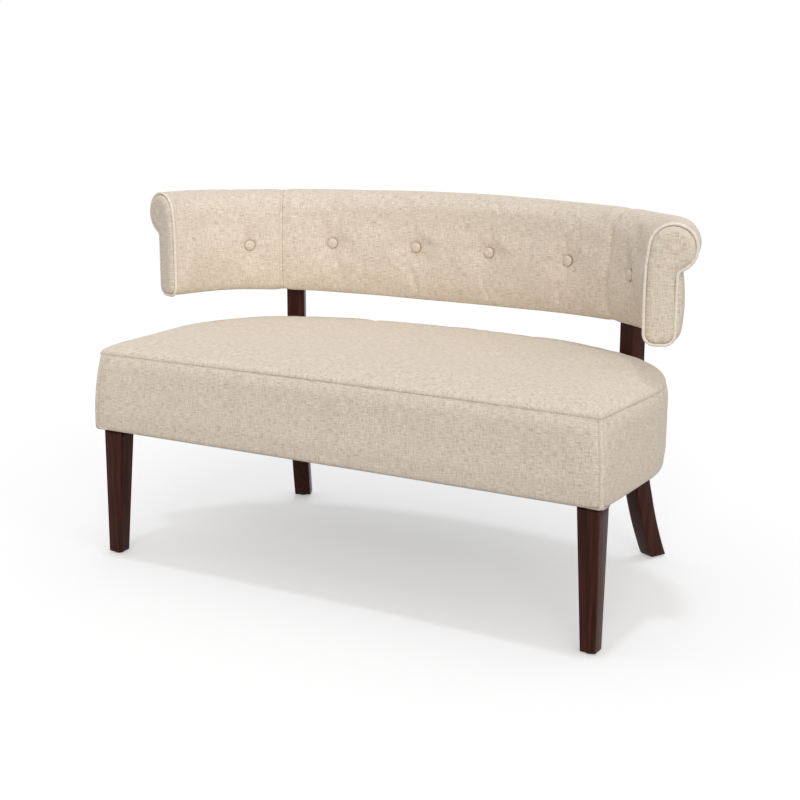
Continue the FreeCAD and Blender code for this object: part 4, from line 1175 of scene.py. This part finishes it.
# the side bands meet the rear one at the middle of the posts, which hide the joints
frontLength = lengthAlong(frontPath(1))[-1]
postMarks = postStations(seamLine, seamReach)
postCentres = [(postMarks[0] + postMarks[1]) / 2, (postMarks[2] + postMarks[3]) / 2]
cornerStitches = band("seat_front_band", frontPath(0), frontPath(1), 0, frontLength, (True, True),
                      ["seat_front_border", "seat_front_padding"], 31)
for name, first, last, corners in (("right", 0, postCentres[0], (True, False)),
                                   ("rear", postCentres[0], postCentres[1], (False, False)),
                                   ("left", postCentres[1], seamReach[-1], (False, True))):
    cornerStitches += band("seat_" + name + "_band", surroundPath(0), seamLine, first, last,
                           corners, ["seat_" + name + "_border", "seat_" + name + "_padding"],
                           32 + len(name))
stitchPiece("seat_corner_stitches", cornerStitches)
print("seat bands made")


sheets = {
    "thick": 0.0008, "centre": 0.30, "sagRun": (0.02, 0.16), "uneven": 0.0003, "wrinkle": 0.07,
    # sizes are shares of the seat's plan; flat is the cloth before it is trimmed, in metres
    "dust_cover": {"material": dustCloth, "size": (0.962, 0.93), "flat": (1.13, 0.58),
                   "top": seat["base"] - 0.0002, "sag": 0.0022, "seed": 8,
                   "rests": ["front_rail", "back_rail"]},
    "deck_cloth": {"material": deckCloth, "size": (0.94, 0.90), "flat": (1.10, 0.56),
                   "top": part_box("deck_cloth")[1][2], "sag": 0.0, "seed": 9,
                   "rests": ["seat_straps_cross", "front_rail"]},
}


def stretchedSheet(node):
    # thin cloth tacked at its edge: the seat's plan drawn in by the two shares of its size, with a
    # little sag between the rails and slight unevenness
    sheet = sheets[node]
    centre = np.array([0.0, frontLine + sheets["centre"]])
    plan = patch(np.linspace(0, 1, 90), np.linspace(0, 1, 46))
    flat = centre + (plan - centre) * sheet["size"]
    x, y = flat[..., 0], flat[..., 1]
    near = np.minimum(*seatDistances(x, y))
    drop = (sheet["sag"] * smoothStep(*sheets["sagRun"], near)
            + sheets["uneven"] * ripple(x, y, sheet["seed"], sheets["wrinkle"]))
    upper = np.concatenate([flat, (sheet["top"] - drop)[..., None]], -1)
    piece = padPiece(node + "_sheet", upper, upper - (0, 0, sheets["thick"]), flat)
    dress(piece, sheet["material"], [node])


stretchedSheet("dust_cover")
stretchedSheet("deck_cloth")


# Legs

legs = {"glide": 0.0035, "edge": 0.0022, "trims": (0.0012, 0.0004)}  # trims soften the end edges
frontLeg = {"outer": 0.5561, "front": 0.0155, "foot": 0.0300, "top": 0.0438}
rearLeg = {
    "top": 0.638, "bend": 0.136, "straight": 0.393,  # heights: two sweeps meet, the post starts
    "upperRadius": 1.030, "lowerRadius": 0.660,
    "thick": (0.038, 0.0405, 0.0345),  # at the glide, at the bend and from there straight up
}


def roundedRectangle(halfX, halfY, radius, each=5):
    # closed outline of a rectangle with rounded corners, anticlockwise
    x, y = halfX - radius, halfY - radius
    return np.concatenate([arcPoints((sx * x, sy * y), radius, start, start + 90, each)
                           for sx, sy, start in ((1, 1, 0), (-1, 1, 90), (-1, -1, 180),
                                                 (1, -1, 270))])


def legPiece(name, heights, centres, halves, axes, node):
    # outlines stacked up a leg, closed by caps: centres, half sizes and the two plan axes
    outlines = np.stack([roundedRectangle(a, b, legs["edge"]) for a, b in halves])
    flat = centres[:, None] + outlines[..., :1] * axes[0] + outlines[..., 1:] * axes[1]
    z = np.repeat(heights[:, None], flat.shape[1], 1)
    turning = axes[0][0] * axes[1][1] - axes[0][1] * axes[1][0]
    piece = gridPiece(name, np.concatenate([flat, z[..., None]], -1), closeColumns=True,
                      flip=turning > 0, caps=True)
    dress(piece, espresso, [node])


def frontLegPiece(side, word):
    # square and tapered, its foot's edges trimmed just above the glide
    f, glide, top = frontLeg, legs["glide"], seat["base"]
    heights = np.concatenate([[glide, glide + 0.0004, glide + 0.0012],
                              np.linspace(0.012, top - 0.0005, 14)])
    width = f["foot"] + (f["top"] - f["foot"]) * (heights - glide) / (top - glide)
    trim = np.zeros(len(heights))
    trim[:2] = legs["trims"]
    centres = np.stack([side * (f["outer"] - width / 2), frontLine + f["front"] + width / 2], 1)
    halves = np.stack([width / 2 - trim, width / 2 - trim], 1)
    legPiece("front_leg_" + word + "_wood", heights, centres, halves, np.eye(2),
             "front_leg_" + word)


def kick(z):
    # how far the rear leg's front face has swept back below a height, by two arcs
    bend, straight = rearLeg["bend"], rearLeg["straight"]
    upper = (straight - np.clip(z, bend, straight)) ** 2 / (2 * rearLeg["upperRadius"])
    drop = np.clip(bend - z, 0, None)
    slope = (straight - bend) / rearLeg["upperRadius"]
    return upper + slope * drop + drop ** 2 / (2 * rearLeg["lowerRadius"])


def rearLegPiece(side, word):
    # leg and post in one: the leg sweeps back below the seat, the post stands behind it
    glide, top = legs["glide"], rearLeg["top"]
    heights = np.concatenate([[glide, glide + 0.0004, glide + 0.0012], np.linspace(0.015, 0.40, 30),
                              [0.45, 0.50, 0.55, 0.60, top - 0.0018, top - 0.0006, top]])
    thick = np.interp(heights, [glide, rearLeg["bend"], rearLeg["straight"]], rearLeg["thick"])
    width = np.interp(heights, [glide, seat["base"]], [post["foot"], post["width"]])
    trim = np.zeros(len(heights))
    trim[:2] = legs["trims"]
    trim[-2:] = legs["trims"][::-1]
    mirror = np.array([side, 1])
    out, aside = postOut * mirror, postSide * mirror
    centres = postPlace * mirror + (kick(heights) + thick / 2)[:, None] * out
    halves = np.stack([width / 2 - trim, thick / 2 - trim], 1)
    legPiece("rear_leg_" + word + "_wood", heights, centres, halves, np.stack([aside, out]),
             "rear_leg_" + word)


for side, word in ((-1, "left"), (1, "right")):
    frontLegPiece(side, word)
    rearLegPiece(side, word)
print("legs made")


# Frame nodes that stay as they are get their finishes

# the piping fabric gets the cover cloth painted paler, as a highlight on the round cord
finishes = {"frame_wood": frameTimber, "webbing": webStrap, "lining_cloth": dustCloth,
            "foam": seatFoam, "wadding": seatFoam, "thread": waxedThread, "cover_fabric": linen,
            "piping_fabric": paleLitPipingLinen, "dark_wood": espresso, "glide_plastic": glideNylon,
            "steel": zincSteel}
for entry in frame["record"]["subparts"]:
    node = frame["nodes"][entry["node"]]
    node.data.materials.clear()
    node.data.materials.append(finishes[entry["material_slot"]])


# Stage, light and camera

# ownWhite and seenPaper are what the camera sees of the floor, litPaper what lights the settee
studio = {"floorSize": 60, "ownWhite": 0.34, "seenPaper": 0.75, "litPaper": 0.28,
          "worldLight": 0.56, "worldSeen": 1.0}
lamps = {
    # the direction points from the settee to the light; then strength, width in degrees, colour
    "overhead": ((0, 0, 1), 0.50, 5, "#eef3ff"),
    "front_fill": ((0.50, -0.85, 0.42), 1.40, 40, "#fffaf2"),
    "right_fill": ((1.0, -0.35, 0.30), 0.50, 40, "#fffdfa"),
}
# the camera's place, degrees down and round, and its lens and shift
view = {"place": (1.516, -2.624, 1.041), "down": 12.667, "round": 30.795,
        "lens": 68.1, "sensor": 36, "shift": (0.01946, -0.01158)}


def seenDirectly(tree):
    # 1 for the camera and for reflections, 0 for all other light
    path = addNode(tree, "LightPath")
    return addNode(tree, "Math", [path.outputs["Is Camera Ray"], path.outputs["Is Glossy Ray"]],
                   operation="MAXIMUM")


def makeFloor():
    # A white floor that shows as pure white with a grey shadow. For the camera and for reflections
    # part of the floor's white is its own, which keeps the shadow pale; for all other light it is
    # plain matte paper.
    bpy.ops.mesh.primitive_plane_add(size=studio["floorSize"], location=(0, 0, 0))
    floor = bpy.context.active_object
    floor.name = "studio_floor"
    material, tree, paper = newMaterial("white_studio_floor")
    lit, shown = [(studio[key],) * 3 + (1,) for key in ("litPaper", "seenPaper")]
    setInputs(tree, paper, {"Base Color": lit, "Roughness": 1.0, "Specular IOR Level": 0.0})
    own = addNode(tree, "Emission", {"Color": (1, 1, 1, 1), "Strength": studio["ownWhite"]})
    shade = addNode(tree, "BsdfDiffuse", {"Color": shown})
    both = addNode(tree, "AddShader", [own, shade])
    mixed = addNode(tree, "MixShader", [seenDirectly(tree), paper, both])
    setInputs(tree, tree.nodes["Material Output"], {"Surface": mixed})
    floor.data.materials.append(material)


def makeWorld():
    # an even white surround, which shows as pure white and lights less than it shows
    scene.world = bpy.data.worlds.new("studio")
    scene.world.use_nodes = True
    tree = scene.world.node_tree
    level = addNode(tree, "MapRange", {0: seenDirectly(tree), 3: studio["worldLight"],
                                       4: studio["worldSeen"]})
    setInputs(tree, tree.nodes["Background"], {"Color": (1, 1, 1, 1), "Strength": level})


makeFloor()
makeWorld()
for name, ((x, y, z), strength, width, colour) in lamps.items():
    light = bpy.data.lights.new(name, "SUN")
    light.energy, light.angle, light.color = strength, math.radians(width), linear(colour)[:3]
    lamp = bpy.data.objects.new(name, light)
    scene.collection.objects.link(lamp)
    lamp.rotation_euler = (math.atan2(math.hypot(x, y), z), 0, math.atan2(x, -y))

camera = bpy.data.objects.new("camera", bpy.data.cameras.new("camera"))
scene.collection.objects.link(camera)
camera.location = view["place"]
camera.rotation_euler = (math.radians(90 - view["down"]), 0, math.radians(view["round"]))
camera.data.lens, camera.data.sensor_width = view["lens"], view["sensor"]
camera.data.shift_x, camera.data.shift_y = view["shift"]
scene.camera = camera
scene.view_settings.view_transform = "Standard"
print("floor, lights and camera made")
